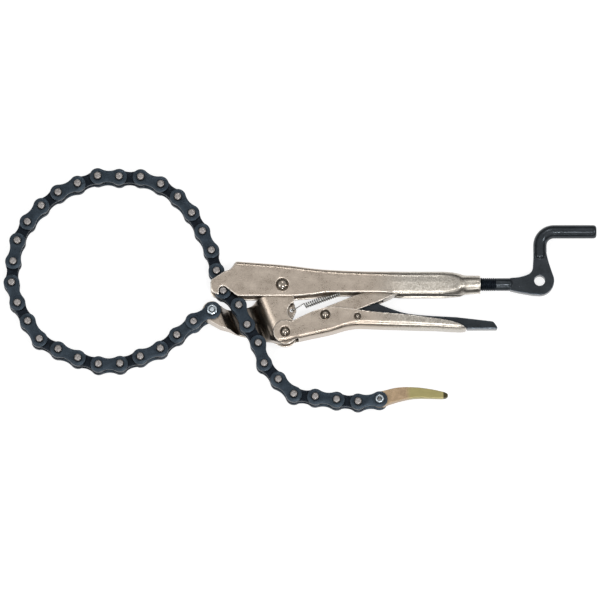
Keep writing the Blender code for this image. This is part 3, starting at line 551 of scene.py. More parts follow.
@dataclass(frozen=True)
class PinSteel(Finish):
    """Riveted pin ends, bare grey steel with a peened, slightly pinkish face."""

    name: str = "peened pin steel"
    light: str = "#B4B0AE"
    dark: str = "#75716F"
    edge_wear_and_highlight: str = "#D8D2CE"
    metallic: float = 0.9
    roughness: float = 0.4
    mottle_mm: float = 1.6
    grain_mm: float = 0.6
    relief_mm: float = 0.03
    recess_mm: float = 3.0
    recess_shade_share: float = 0.95
    recess_shade_colour: str = "#0A0A0C"


@dataclass(frozen=True)
class ForgedBlack(Finish):
    """Black oxide on a forging: even charcoal with a faint scale, glossier on round bars."""

    name: str = "forged black oxide"
    light: str = "#42474C"
    dark: str = "#2C3135"
    edge_wear_and_highlight: str = "#66717E"
    edge_wear_and_highlight_share: float = 0.7
    metallic: float = 0.6
    specular: float = 0.3
    roughness: float = 0.18
    spread: float = 0.1
    mottle_mm: float = 8.0
    grain_mm: float = 0.8
    stretch: float = 1.4
    relief_mm: float = 0.02
    recess_mm: float = 8.0
    recess_shade_share: float = 0.9
    recess_shade_colour: str = "#090B0E"


@dataclass(frozen=True)
class BrightZinc(Finish):
    """Blue-white passivated zinc on a turned nut: cold, bright and nearly a mirror."""

    name: str = "bright zinc"
    light: str = "#DCE6EC"
    dark: str = "#AAB8C2"
    edge_wear_and_highlight: str = "#F5FAFD"
    roughness: float = 0.24
    mottle_mm: float = 3.0
    grain_mm: float = 0.6
    relief_mm: float = 0.01
    recess_mm: float = 3.0
    recess_shade_share: float = 0.97
    recess_shade_colour: str = "#0C0E12"


@dataclass(frozen=True)
class SpringWire(Finish):
    """Drawn spring wire: grey and bright on its crown, and black between the coils with painted
    shade.
    """

    name: str = "oiled drawn wire"
    light: str = "#DADAD6"
    dark: str = "#A3A29F"
    edge_wear_and_highlight: str = "#F0F0EC"
    metallic: float = 0.95
    roughness: float = 0.3
    recess_mm: float = 5.0
    recess_shade_share: float = 0.98
    recess_shade_colour: str = "#060606"
    mottle_mm: float = 2.0
    grain_mm: float = 0.5


@dataclass(frozen=True)
class YellowChromate(Finish):
    """Yellow-chromated zinc: tan and pink by the pivot, olive to the tip, with a dark end."""

    name: str = "yellow chromate"
    light: str = "#C6AC8C"
    dark: str = "#9C8468"
    edge_wear_and_highlight: str = "#D8CBA8"
    edge_wear_and_highlight_share: float = 0.35
    metallic: float = 0.7
    roughness: float = 0.4
    mottle_mm: float = 5.0
    grain_mm: float = 1.0
    relief_mm: float = 0.02
    olive: str = "#A69F68"
    olive_share: float = 0.85
    dip: str = "#34301C"
    dip_share: float = 0.95
    turn_x: float = 93.0
    turn_width: float = 4.5
    waver_mm: float = 6.0
    waver_reach: float = 5.0
    dip_x: float = 118.6
    dip_blur: float = 0.4

    def tinted(self, tree: Tree, place: Socket, colour: Socket) -> Socket:
        """Shades the colour from tan to olive along the spike and darkens its dipped end."""
        waver = add_node(tree, "ShaderNodeTexNoise", {
            "Vector": place, "Scale": 1 / (self.waver_mm * MM),
            "Detail": 3.0}).outputs["Fac"]
        along = add_node(tree, "ShaderNodeSeparateXYZ", {"Vector": place}).outputs["X"]
        uneven = add_node(tree, "ShaderNodeMath", {
            0: waver, 1: self.waver_reach * MM, 2: along}, operation="MULTIPLY_ADD").outputs[0]
        start = ORIGIN.x + self.turn_x * MM
        olive = add_node(tree, "ShaderNodeMapRange", {
            "Value": uneven, "From Min": start, "From Max": start + self.turn_width * MM,
            "To Max": self.olive_share}).outputs["Result"]
        colour = add_node(tree, "ShaderNodeMix", {
            0: olive, 6: colour, 7: linear(self.olive)}, data_type="RGBA").outputs[2]
        end = ORIGIN.x + self.dip_x * MM
        dipped = add_node(tree, "ShaderNodeMapRange", {
            "Value": along, "From Min": end - self.dip_blur * MM,
            "From Max": end + self.dip_blur * MM,
            "To Max": self.dip_share}).outputs["Result"]
        return add_node(tree, "ShaderNodeMix", {
            0: dipped, 6: colour, 7: linear(self.dip)}, data_type="RGBA").outputs[2]


@dataclass
class Finishes:
    """The materials that the pieces share, each made once."""

    nickel: Material
    rivet: Material
    oxide: Material
    dark_and_shaded_oxide: Material
    pin: Material
    forged: Material
    zinc: Material
    wire: Material
    chromate: Material

    @classmethod
    def make(cls) -> "Finishes":
        """Makes every material."""
        kinds = (SatinNickel, RivetSteel, BlackOxide, ShadedOxide, PinSteel, ForgedBlack,
                 BrightZinc, SpringWire, YellowChromate)
        return cls(*(kind().build() for kind in kinds))


# --- layout ----------------------------------------------------------------------------------


@dataclass(frozen=True)
class Layout:
    """Pivots and planes that the sub-assemblies share."""

    main: Point = (0.0, 0.0)
    handle: Point = polar((0.0, 0.0), 35.3, -86.6)
    toggle: Point = polar(handle, 32.3, 23.5)
    anchor: Point = (-51.7, -19.4)
    hook: Point = (-43.7, -4.3)
    screw_y: float = 1.8
    toggle_length: float = 60.4
    fit: float = 0.3
    channel_outer: float = 9.8
    channel_inner: float = 7.6
    wall: float = 2.2
    neck_half_width: float = 9.1
    main_rivet: float = 3.2
    small_rivet: float = 2.5
    lever_rivet: float = 1.7
    head_ratio: float = 1.4
    seat_gap: float = 0.15

    def seat_radius(self, shank: float) -> float:
        """Radius of the round seat that is pressed for a rivet's head, from its shank's."""
        return shank * self.head_ratio + self.seat_gap

    @property
    def lever(self) -> Point:
        """Pivot of the release lever."""
        return polar(self.toggle, 23.8, -3.0)

    @property
    def toggle_angle(self) -> float:
        """Lie of the toggle link, in degrees."""
        return math.degrees(math.asin((self.screw_y - self.toggle[1]) / self.toggle_length))

    @property
    def toggle_tip(self) -> Point:
        """Middle of the toggle link's round tip."""
        return polar(self.toggle, self.toggle_length, self.toggle_angle)


LAYOUT = Layout()


# --- pressed channels ------------------------------------------------------------------------


@dataclass(frozen=True)
class Section:
    """One section of a pressed channel, at a distance along X."""

    x: float
    low: float
    high: float
    half_width: float
    top_radius: float
    lip_radius: float = 3.0
    lip_angle: float = 0.0
    wall: float = 2.2
    crease: float = 2.6
    taper: float = 0.0

    def path(self, inset: float, steps: int) -> list[Point]:
        """Walks half of the section.

        Args:
            inset: Distance from the outer face.
            steps: Parts that each bend is divided into.

        Returns:
            Points as (y, z), from the middle of the back to the lip.
        """
        lip_start = self.low + self.lip_radius * math.sin(math.radians(self.lip_angle))
        corner = (self.high - self.top_radius, self.half_width - self.top_radius)
        points = [(self.high - inset, corner[1] * share) for share in (0.0, 0.5)]
        points += [(corner[0] + y, corner[1] + z)
                   for y, z in arc((0.0, 0.0), self.top_radius - inset, 0, 90, steps)]
        crease = min(max(self.crease, lip_start + 0.4), corner[0] - 0.4)
        half = steps // 2
        for step in range(1, half + 1):
            points.append((corner[0] + (crease - corner[0]) * step / half,
                           self.half_width - inset))
        for step in range(1, steps - half + 1):
            share = step / (steps - half)
            points.append((crease + (lip_start - crease) * share,
                           self.half_width - inset - self.taper * share))
        radius = self.lip_radius - inset
        middle = self.half_width - self.lip_radius - self.taper
        for step in range(1, steps + 1):
            turn = math.radians(self.lip_angle) * step / steps
            drop = NUDGE * step
            points.append((lip_start - radius * math.sin(turn) - drop,
                           middle + radius * math.cos(turn)))
        return points


def channel(sections: Sequence[Section], spacing: float, flip: float = 1.0) -> Mesh:
    """Makes a pressed channel whose section changes smoothly along X.

    Args:
        sections: The sections that it goes through, in order.
        spacing: Distance between its rings.
        flip: -1 turns its back downwards.

    Returns:
        The closed mesh.
    """
    table = numpy.array([astuple(section) for section in sections])
    knots = table[:, 0]
    secants = numpy.diff(table, axis=0) / numpy.diff(knots)[:, None]
    slopes = numpy.zeros_like(table)
    before, after = secants[:-1], secants[1:]
    alike = before * after > 0
    total = numpy.where(alike, before + after, 1.0)
    slopes[1:-1] = numpy.where(alike, 2 * before * after / total, 0.0)
    slopes[0], slopes[-1] = secants[0], secants[-1]
    loops = []
    count = int((knots[-1] - knots[0]) / spacing)
    for x in numpy.linspace(knots[0], knots[-1], count + 1):
        index = min(int(numpy.searchsorted(knots, x, side="right")) - 1, len(knots) - 2)
        span = knots[index + 1] - knots[index]
        t = (x - knots[index]) / span
        row = ((2 * t ** 3 - 3 * t ** 2 + 1) * table[index]
               + (t ** 3 - 2 * t ** 2 + t) * span * slopes[index]
               + (3 * t ** 2 - 2 * t ** 3) * table[index + 1]
               + (t ** 3 - t ** 2) * span * slopes[index + 1])
        section = Section(float(x), *(float(value) for value in row[1:]))
        outer = section.path(0.0, BEND_STEPS)
        inner = section.path(section.wall, BEND_STEPS)
        loop = list(outer) + list(reversed(inner))
        loop += [(y, -z) for y, z in inner[1:]]
        loop += [(y, -z) for y, z in reversed(outer[1:])]
        loops.append([(section.x, flip * y, z) for y, z in loop])
    return loft(loops)


@dataclass
class UpperHandle:
    """Pressed upper handle with the hooked nose, the rolled grip and the screw's sleeve."""

    nose_reach: float = 53.1
    nose_top: float = 3.9
    spine_front: float = -34.0
    spine_front_height: float = 17.8
    lower_edge: float = -8.6
    hook_radius: float = 3.09
    hook_ramp: float = 52.0
    grip_half_width: float = 9.5
    grip_top: float = 10.5
    grip_low: float = -7.6
    grip_start: float = 84.0
    grip_end: float = 122.0
    crease: float = 2.6
    sleeve_start: float = 135.5
    sleeve_end: float = 146.3
    sleeve_radius: float = 6.8
    sleeve_drop: float = 0.2
    tab_half: float = 1.0
    grid: float = 0.56

    def sections(self) -> list[Section]:
        """Gives the channel's sections from before the nose to the sleeve's end."""
        low, wide, front = self.lower_edge, LAYOUT.channel_outer, self.spine_front
        ring_low = LAYOUT.screw_y - self.sleeve_drop - self.sleeve_radius
        ring_high = LAYOUT.screw_y - self.sleeve_drop + self.sleeve_radius
        ring = (self.sleeve_radius, self.sleeve_radius, self.sleeve_radius, 84.0, 1.6,
                LAYOUT.screw_y)
        grip = (self.grip_low, self.grip_top, self.grip_half_width, 5.0, 3.4, 78.0, 2.2,
                self.crease, 0.8)
        return [
            Section(front - 20, low, self.spine_front_height + 1.6, wide, 3.0),
            Section(front, low, self.spine_front_height, wide, 3.0),
            Section(front + 40, low, 14.5, wide, 3.0),
            Section(front + 55, low + 1.0, 12.6, wide, 3.0),
            Section(front + 70, low + 2.9, 11.3, wide, 3.2),
            Section(front + 100, low + 3.0, 10.3, wide, 3.6),
            Section(self.grip_start - 8, low + 2.6, 10.3, wide, 4.0, 3.0, 12.0, 2.2,
                    self.crease),
            Section(self.grip_start - 2, self.grip_low + 0.5, self.grip_top, wide - 0.2, 4.6,
                    3.2, 56.0, 2.2, self.crease, 0.7),
            Section(self.grip_start + 6, *grip),
            Section(self.grip_end - 4, *grip),
            Section(self.grip_end + 3, self.grip_low + 0.5, self.grip_top - 0.3,
                    self.grip_half_width - 0.4, 5.6, 4.4, 74.0, 2.1, self.crease, 0.5),
            Section(self.grip_end + 8, ring_low - 1.9, ring_high + 1.2,
                    self.sleeve_radius + 1.6, 6.2, 6.0, 79.0, 1.8, LAYOUT.screw_y),
            Section(self.sleeve_start, ring_low - 0.6, ring_high + 0.1, *ring),
            Section(self.sleeve_end, ring_low, ring_high, *ring),
        ]

    def nose_cut(self) -> list[Point]:
        """Outline of what is cut away before the nose."""
        front, high = self.spine_front, self.spine_front_height
        reach, hook = self.nose_reach, LAYOUT.hook
        shape = [(front, 40.0), (front, high)]
        shape += smooth([(front, high), (front - 4.3, 11.9), (front - 9, 9.9)], 8)[1:]
        shape += smooth([(-reach + 0.9, self.nose_top), (-reach, self.nose_top - 2.2),
                         (-reach + 0.4, hook[1] + 0.6)], 6)
        shape += smooth([(-reach + 0.4, hook[1] + 0.6), (-reach + 1.6, hook[1] - 1.1),
                         (-reach + 3.6, hook[1] - 2.4),
                         (hook[0] - self.hook_radius, hook[1] - 3.2)], 5)[1:]
        shape += [(hook[0] - self.hook_radius, -40.0), (-80.0, -40.0), (-80.0, 40.0)]
        return shape

    def hook_cut(self) -> list[Point]:
        """Outline of the notch that the chain's pin lies in, with its ramp."""
        hook, radius, low = LAYOUT.hook, self.hook_radius, self.lower_edge
        ramp = polar(hook, radius, self.hook_ramp)
        fall = (ramp[1] - low + 2.0) * math.tan(math.radians(self.hook_ramp))
        shape = [(hook[0] - radius, low - 2.0)]
        shape += arc(hook, radius, 180, self.hook_ramp, 14)
        return shape + [(ramp[0] + fall, low - 2.0)]

    def spring_tab(self) -> list[Point]:
        """Outline of the lug inside the spine that the spring hooks on."""
        x, y = ReturnSpring().point(ReturnSpring.length)
        return [(x - 2.2, y - 2.2), (x + 3.5, y - 2.2), (x + 5.5, 9.4), (x - 3.0, 9.4)]

    def build(self, finishes: Finishes) -> None:
        """Builds the pressing and dresses it in nickel."""
        mesh = channel(self.sections(), 1.5)
        mesh = combine(mesh, prism(self.nose_cut(), -THROUGH, THROUGH))
        mesh = combine(mesh, prism(self.hook_cut(), -THROUGH, THROUGH))
        mesh = combine(mesh, prism(self.spring_tab(), -self.tab_half, self.tab_half), Cut.JOIN)
        mesh = ReturnSpring().drilled(mesh, ReturnSpring.length)
        mesh = sink(mesh, LAYOUT.main, LAYOUT.seat_radius(LAYOUT.main_rivet),
                    LAYOUT.channel_outer)
        mesh = drill(mesh, LAYOUT.main, LAYOUT.main_rivet + LAYOUT.fit)
        mesh = soften(mesh, self.grid, passes=3)
        publish("upper_handle_pressing", painted(mesh, finishes.nickel), "frame", ["frame"])


@dataclass
class LowerJaw:
    """Lower jaw: a fork on both pivots whose front dips under the chain to the anchor."""

    wall_outer: float = 7.3
    wall_inner: float = 5.0
    boss_radius: float = 9.3
    foot_radius: float = 9.0
    anchor_boss: float = 7.4
    anchor_bore: float = 2.8
    floor: float = -10.27
    tilt: float = 22.0
    reach: Point = (-30.0, 70.0)
    tab_half: float = 1.2
    tab_radius: float = 3.6
    grid: float = 0.42

    def profile(self) -> list[Point]:
        """Section across the chain's valley, as (across, z)."""
        outer, inner, floor = self.wall_outer, self.wall_inner, self.floor
        base = floor - LAYOUT.wall
        top = [(-80, outer), (-51.5, outer)]
        top += smooth([(-51.5, outer), (-49.3, outer - 1.2), (-47.6, outer - 5.0),
                       (-44.8, floor + 3.6), (-43.2, floor + 0.8), (-41.8, floor)], 5)[1:]
        top += smooth([(-28.2, floor), (-26.2, floor + 0.9), (-24.6, floor + 3.6),
                       (-22.2, outer - 6.2), (-20.2, outer - 3.0), (-17.8, outer - 1.3),
                       (-15.0, outer - 0.4), (-12.0, outer)], 6)
        right = [(40, outer), (40, inner), (-16.0, inner)]
        right += smooth([(-16.0, inner - 0.6), (-17.4, inner - 2.9), (-20.1, -inner + 2.0),
                         (-19.6, -inner)], 4)[1:]
        right += [(40, -inner), (40, -outer)]
        under = smooth([(-20.8, -outer), (-23.2, base + 2.6), (-25.2, base + 0.6),
                        (-27.4, base)], 4)
        under += smooth([(-42.6, base), (-45.2, base + 0.9), (-48.6, -outer)], 4)
        return top + right + under + [(-80, -outer)]

    def outline(self) -> list[Point]:
        """Side view: pivot boss, valley arm, anchor boss and handle foot."""
        hole = ReturnSpring().point(0.0)
        shape = arc(LAYOUT.main, self.boss_radius, -20, 205, 24)
        shape += smooth([(-13.5, -7.6), (-24.7, -13.4), (-38.5, -15.6)], 8)
        shape += arc(LAYOUT.anchor, self.anchor_boss, 42, 250, 22)
        shape += smooth([(-45.8, -31.2), (-28.8, -35.6), (-7.7, -40.4)], 6)
        shape += arc(LAYOUT.handle, self.foot_radius, 235, 375, 18)
        shape += arc((hole[0] + 4.4, hole[1] - 1.6), 7.2, 262, 112, 16)
        return shape + [(8.6, -11.5)]

    def spring_tab(self) -> list[Point]:
        """Outline of the lug between the walls that the spring's near end hooks on."""
        hole = ReturnSpring().point(0.0)
        shape = [(-17.0, hole[1] + 5.4), (hole[0] + 2.2, hole[1] + 4.9)]
        shape += arc(hole, self.tab_radius, 40, -40, 8)
        return shape + [(hole[0] + 1.0, hole[1] - 6.4), (-12.8, hole[1] - 6.4)]

    def build(self, finishes: Finishes) -> None:
        """Builds the forging and dresses it in nickel."""
        turn = Matrix.Rotation(math.radians(self.tilt), 4, "Z")
        mesh = loft([[tuple(turn @ Vector((across, -along, z))) for across, z in self.profile()]
                     for along in self.reach])
        mesh = combine(mesh, prism(self.outline(), -THROUGH, THROUGH), Cut.KEEP)
        mesh = combine(mesh, prism(self.spring_tab(), -self.tab_half, self.tab_half), Cut.JOIN)
        mesh = ReturnSpring().drilled(mesh, 0.0)
        mesh = drill(mesh, LAYOUT.main, LAYOUT.main_rivet + LAYOUT.fit)
        mesh = drill(mesh, LAYOUT.handle, LAYOUT.small_rivet + LAYOUT.fit)
        mesh = drill(mesh, LAYOUT.anchor, self.anchor_bore)
        mesh = soften(mesh, self.grid)
        publish("jaw_forging", painted(mesh, finishes.nickel), "jaw", ["jaw"])


@dataclass
class LowerHandle:
    """Pressed moving handle: a channel open upwards, with two ears on the jaw's foot."""

    ear_radius: float = 8.9
    ear_reach: float = 9.9
    end: float = 135.6
    grid: float = 0.45

    def sections(self) -> list[Section]:
        """Gives the channel's sections from the ears to the rounded end."""
        pivot, neck, wide = LAYOUT.handle, LAYOUT.neck_half_width, LAYOUT.channel_outer
        ear_end, end = pivot[0] + self.ear_reach, self.end
        return [
            Section(pivot[0] - self.ear_radius - 1, 20.0, 44.4, wide, 3.0),
            Section(ear_end - 5.4, 20.0, 41.8, wide, 3.0),
            Section(ear_end + 0.8, 19.5, 40.3, neck - 0.1, 3.0),
            Section(22.0, 15.0, 38.2, neck, 3.0),
            Section(36.0, 12.0, 35.2, neck, 3.2),
            Section(48.0, 13.0, 31.8, neck, 3.8),
            Section(56.0, 17.0, 30.8, neck, 4.4),
            Section(66.0, 18.5, 31.2, neck, 5.0),
            Section(87.0, 20.5, 31.9, neck, 5.0),
            Section(112.0, 23.5, 32.4, neck - 0.2, 4.0),
            Section(end - 4.0, 25.0, 33.4, neck - 0.8, 3.8),
            Section(end - 1.2, 25.6, 33.3, neck - 1.5, 3.6),
            Section(end, 26.6, 32.9, neck - 2.2, 3.4),
        ]

    def upper_cut(self) -> list[Point]:
        """Outline of what is cut away above the walls."""
        pivot, end = LAYOUT.handle, self.end
        shape = [(-30.0, 0.0), (-30.0, -80.0), (pivot[0] - 4, -80.0)]
        shape += arc(pivot, self.ear_radius, 252, 60, 28)
        shape += smooth([(12.0, -24.6), (20.4, -20.6), (28.6, -17.8), (35.5, -16.6),
                         (46.0, -17.2), (57.3, -18.9), (72.0, -20.6), (87.0, -21.8),
                         (103.0, -23.5), (119.0, -25.9), (128.0, -27.9), (end - 4.0, -29.4),
                         (end - 1.6, -30.8), (end + 0.2, -32.8)], 5)
        return shape + [(end + 5, -32.8), (end + 5, 0.0)]

    def build(self, finishes: Finishes) -> None:
        """Builds the pressing and dresses it in nickel."""
        mesh = channel(self.sections(), 1.2, flip=-1.0)
        mesh = combine(mesh, prism(self.upper_cut(), -THROUGH, THROUGH))
        ear_end = LAYOUT.handle[0] + self.ear_reach
        mouth = [(-30.0, -80.0), (ear_end, -80.0), (ear_end, 0.0), (-30.0, 0.0)]
        mesh = combine(mesh, prism(mouth, -LAYOUT.channel_inner, LAYOUT.channel_inner))
        rivets = ((LAYOUT.handle, LAYOUT.small_rivet, LAYOUT.channel_outer),
                  (LAYOUT.toggle, LAYOUT.small_rivet, LAYOUT.neck_half_width),
                  (LAYOUT.lever, LAYOUT.lever_rivet, LAYOUT.neck_half_width))
        for pivot, shank, face in rivets:
            mesh = sink(mesh, pivot, LAYOUT.seat_radius(shank), face)
        for pivot, shank, _ in rivets:
            mesh = drill(mesh, pivot, shank + LAYOUT.fit)
        mesh = soften(mesh, self.grid)
        publish("lower_handle_pressing", painted(mesh, finishes.nickel), "lower_handle",
                ["lower_handle"])


@dataclass
class ToggleLink:
    """Toggle link: a pressed bar, hollow below, whose solid tip bears on the screw."""

    half_width: float = 6.5
    pocket_half: float = 4.5
    eye_radius: float = 5.6
    tip_radius: float = 4.2
    grid: float = 0.42

    def build(self, finishes: Finishes) -> None:
        """Builds the bar and dresses it in nickel."""
        length = LAYOUT.toggle_length
        outline = arc((0.0, 0.0), self.eye_radius, 90, 270, 16)
        outline += smooth([(22.0, -5.8), (length - 14, -6.6), (length - 7, -6.0)], 6)
        outline += arc((length, 0.0), self.tip_radius, -70, 90, 16)
        outline += [(length - 16, 4.7), (24.0, 5.0)]
        mesh = prism(outline, -self.half_width, self.half_width)
        end = length - 16.5
        pocket = [(11.0, -20.0), (end, -20.0), (end, 2.4), (14.0, 2.6), (11.0, -0.5)]
        mesh = combine(mesh, prism(pocket, -self.pocket_half, self.pocket_half))
        mesh = drill(mesh, (0.0, 0.0), LAYOUT.small_rivet + LAYOUT.fit)
        mesh = placed(soften(mesh, self.grid), LAYOUT.toggle, LAYOUT.toggle_angle)
        publish("toggle_bar", painted(mesh, finishes.nickel), "toggle_link", ["toggle_link"])


@dataclass
class ReleaseLever:
    """Black release lever: its nose reaches up into the toggle, its tail past the handle."""

    half_width: float = 4.2
    eye_radius: float = 4.2
    hub_radius: float = 3.4
    handle_end: float = 135.6
    grid: float = 0.4

    def build(self, finishes: Finishes) -> None:
        """Builds the lever and dresses it in forged black."""
        px, py = LAYOUT.lever
        end = self.handle_end + 1.0
        outline = arc(LAYOUT.lever, self.eye_radius, 150, 270, 12)
        outline += [(px + 24, py - 5.0), (end - 3.0, py - 6.4)]
        outline += smooth([(end - 3.0, py - 6.4), (end - 1.2, py - 7.3), (end - 0.5, py - 8.6)],
                          4)[1:]
        outline += smooth([(end + 20.8, py - 8.6), (end + 21.9, py - 8.3), (end + 21.9, py - 7.2),
                           (end + 19.2, py - 3.4), (end + 17.4, py - 2.8)], 5)
        outline += smooth([(px + 72.6, py + 0.2), (px + 50.9, py + 1.4), (px + 36.4, py + 3.0),
                           (px + 27.0, py + 5.7), (px + 15.2, py + 10.3),
                           (px + 6.4, py + 14.8)], 6)
        outline += [(px + 3.4, py + 13.6), (px + 0.6, py + 5.0)]
        mesh = prism(outline, -self.half_width, self.half_width)
        side = LAYOUT.neck_half_width - LAYOUT.wall - LAYOUT.fit
        hub = turned([(self.hub_radius, -side), (self.hub_radius, side)], LAYOUT.lever)
        mesh = combine(mesh, hub, Cut.JOIN)
        mesh = drill(mesh, LAYOUT.lever, LAYOUT.lever_rivet + LAYOUT.fit)
        mesh = soften(mesh, self.grid)
        publish("release_lever_blade", painted(mesh, finishes.forged), "release_lever",
                ["release_lever"])


class RivetPlace(Enum):
    """The four rivets: node, body, pivot's name, shank radius's name and the face they bear on."""

    MAIN = ("main_rivet", "frame", "main", "main_rivet", "channel_outer")
    HANDLE = ("handle_rivet", "jaw", "handle", "small_rivet", "channel_outer")
    TOGGLE = ("toggle_rivet", "lower_handle", "toggle", "small_rivet", "neck_half_width")
    LEVER = ("lever_rivet", "lower_handle", "lever", "lever_rivet", "neck_half_width")


@dataclass
class Rivets:
    """Set rivets: a shank through both walls and a domed head sunk a little in each face."""

    head_height: float = 1.9
    sunk: float = 0.6
    rim_height: float = 0.4
    dome_share: float = 0.99
    dome_end: float = 86.0
    dome_steps: int = 11

    def build(self, finishes: Finishes) -> None:
        """Builds each rivet as one turned solid."""
        for place in RivetPlace:
            node, body, pivot, shank, face = place.value
            radius = getattr(LAYOUT, shank)
            head = radius * LAYOUT.head_ratio
            seat = getattr(LAYOUT, face) - self.sunk
            top = getattr(LAYOUT, face) + LAYOUT.fit + self.head_height
            dome = [(head * 0.97, seat), (head, seat + 0.2)]
            rise = top - seat - self.rim_height
            for step in range(self.dome_steps + 1):
                turn = math.radians(self.dome_end * step / self.dome_steps)
                dome.append((head * self.dome_share * math.cos(turn),
                             seat + self.rim_height + rise * math.sin(turn)))
            profile = [(r, -z) for r, z in reversed(dome)]
            profile += [(radius, -seat), (radius, seat)]
            profile += dome
            mesh = turned(profile, getattr(LAYOUT, pivot), 56)
            publish(f"{node}_set", painted(mesh, finishes.rivet), body, [node])


# --- spring ----------------------------------------------------------------------------------


@dataclass
class ReturnSpring:
    """Extension spring between the jaw's tab and the frame's tab."""

    hole: Point = (6.8, -17.9)
    angle: float = 20.3
    length: float = 54.5
    coil_radius: float = 1.9
    wire_radius: float = 0.42
    coils: int = 17
    hook_radius: float = 2.2
    hook_sweep: int = 120
    hook_step: int = 12
    lead: float = 10.6
    tail: float = 16.4
    turn_steps: int = 24
    tab_bore: float = 1.3
    tab_reach: float = 2.5

    def point(self, distance: float) -> Point:
        """Gives the point on the spring's axis at a distance from the jaw's hole."""
        return polar(self.hole, distance, self.angle)

    def drilled(self, mesh: Mesh, distance: float) -> Mesh:
        """Makes the hole for a hook in the tab at a distance along the spring."""
        return drill(mesh, self.point(distance), self.tab_bore, -self.tab_reach,
                     self.tab_reach)

    def wire(self) -> list[Vector]:
        """Centre line: a hook, a straight lead, the coils and the far hook."""
        along = Vector(polar((0.0, 0.0), 1.0, self.angle)).to_3d()
        across = Vector((-along.y, along.x, 0.0))
        up = Vector((0.0, 0.0, 1.0))
        base = Vector((*self.hole, 0.0))
        hook = self.hook_radius
        near = base + along * hook
        far = base + along * (self.length - hook)
        sweep = [math.radians(degrees) for degrees in
                 range(-self.hook_sweep, self.hook_sweep + 1, self.hook_step)]
        points = [near - along * hook * math.cos(turn) + up * hook * math.sin(turn)
                  for turn in sweep]
        steps = self.coils * self.turn_steps
        reach = self.length - self.tail - self.lead
        for step in range(steps + 1):
            turn = math.tau * step / self.turn_steps + math.pi / 2
            points.append(base + along * (self.lead + reach * step / steps)
                          + up * self.coil_radius * math.cos(turn)
                          + across * self.coil_radius * math.sin(turn))
        points += [far + along * hook * math.cos(turn) + up * hook * math.sin(turn)
                   for turn in reversed(sweep)]
        return points

    def tree(self) -> Tree:
        """Makes the tree that draws round wire along a centre line."""
        tree = empty_tree("wire along a line", {
            "Line": "Geometry", "Wire Radius": "Float", "Finish": "Material"}, "Wire")
        given = add_node(tree, "NodeGroupInput")
        curve = add_node(tree, "GeometryNodeMeshToCurve", {0: given.outputs["Line"]})
        ring = add_node(tree, "GeometryNodeCurvePrimitiveCircle", {
            "Resolution": 8, "Radius": given.outputs["Wire Radius"]})
        wire = add_node(tree, "GeometryNodeCurveToMesh", {
            "Curve": curve.outputs[0], "Profile Curve": ring.outputs[0], "Fill Caps": True})
        real = add_node(tree, "GeometryNodeRealizeInstances", {0: wire.outputs[0]})
        done = add_node(tree, "GeometryNodeSetMaterial", {
            "Geometry": real.outputs[0], "Material": given.outputs["Finish"]})
        add_node(tree, "NodeGroupOutput", {0: done.outputs[0]})
        return tree

    def build(self, finishes: Finishes) -> None:
        """Builds the wire in oiled drawn steel."""
        points = self.wire()
        line = bpy.data.meshes.new("wire line")
        line.from_pydata(points, [(i, i + 1) for i in range(len(points) - 1)], [])
        mesh = grown(line, self.tree(), {"Wire Radius": self.wire_radius,
                                         "Finish": finishes.wire})
        spring = publish("return_spring_wire", mesh, "frame", ["return_spring"],
                         rides=False)
        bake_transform(spring)


def empty_tree(name: str, inputs: dict[str, str], output: str) -> Tree:
    """Makes a geometry tree that has its sockets and no node yet.

    Args:
        name: The tree's name.
        inputs: Kind of each input socket, by the socket's name.
        output: Name of its geometry output.

    Returns:
        The tree.
    """
    tree = bpy.data.node_groups.new(name, "GeometryNodeTree")
    for socket, kind in inputs.items():
        tree.interface.new_socket(socket, in_out="INPUT", socket_type=f"NodeSocket{kind}")
    tree.interface.new_socket(output, in_out="OUTPUT", socket_type="NodeSocketGeometry")
    return tree


def grown(mesh: Mesh, tree: Tree, values: dict[str, object]) -> Mesh:
    """Runs a geometry tree on a mesh.

    Args:
        mesh: The geometry that the tree starts from.
        tree: The tree.
        values: Values by the name of the tree's input.

    Returns:
        The plain mesh that the tree gives, its doubles merged and its faces outward.
    """
    item = loose_object(mesh)
    modifier = item.modifiers.new("grow", "NODES")
    modifier.node_group = tree
    for socket in tree.interface.items_tree:
        if socket.in_out == "INPUT" and socket.name in values:
            modifier[socket.identifier] = values[socket.name]
    result = evaluated_mesh(item)
    shell = bmesh.new()
    shell.from_mesh(result)
    bmesh.ops.remove_doubles(shell, verts=shell.verts, dist=0.0005)
    bmesh.ops.recalc_face_normals(shell, faces=shell.faces)
    shell.to_mesh(result)
    shell.free()
    return result


# --- chain -----------------------------------------------------------------------------------


@dataclass(frozen=True)
class LinkKit:
    """What every run of links is grown from, made once: the tree and its three links."""

    tree: Tree
    outer: Object
    last: Object
    inner: Object


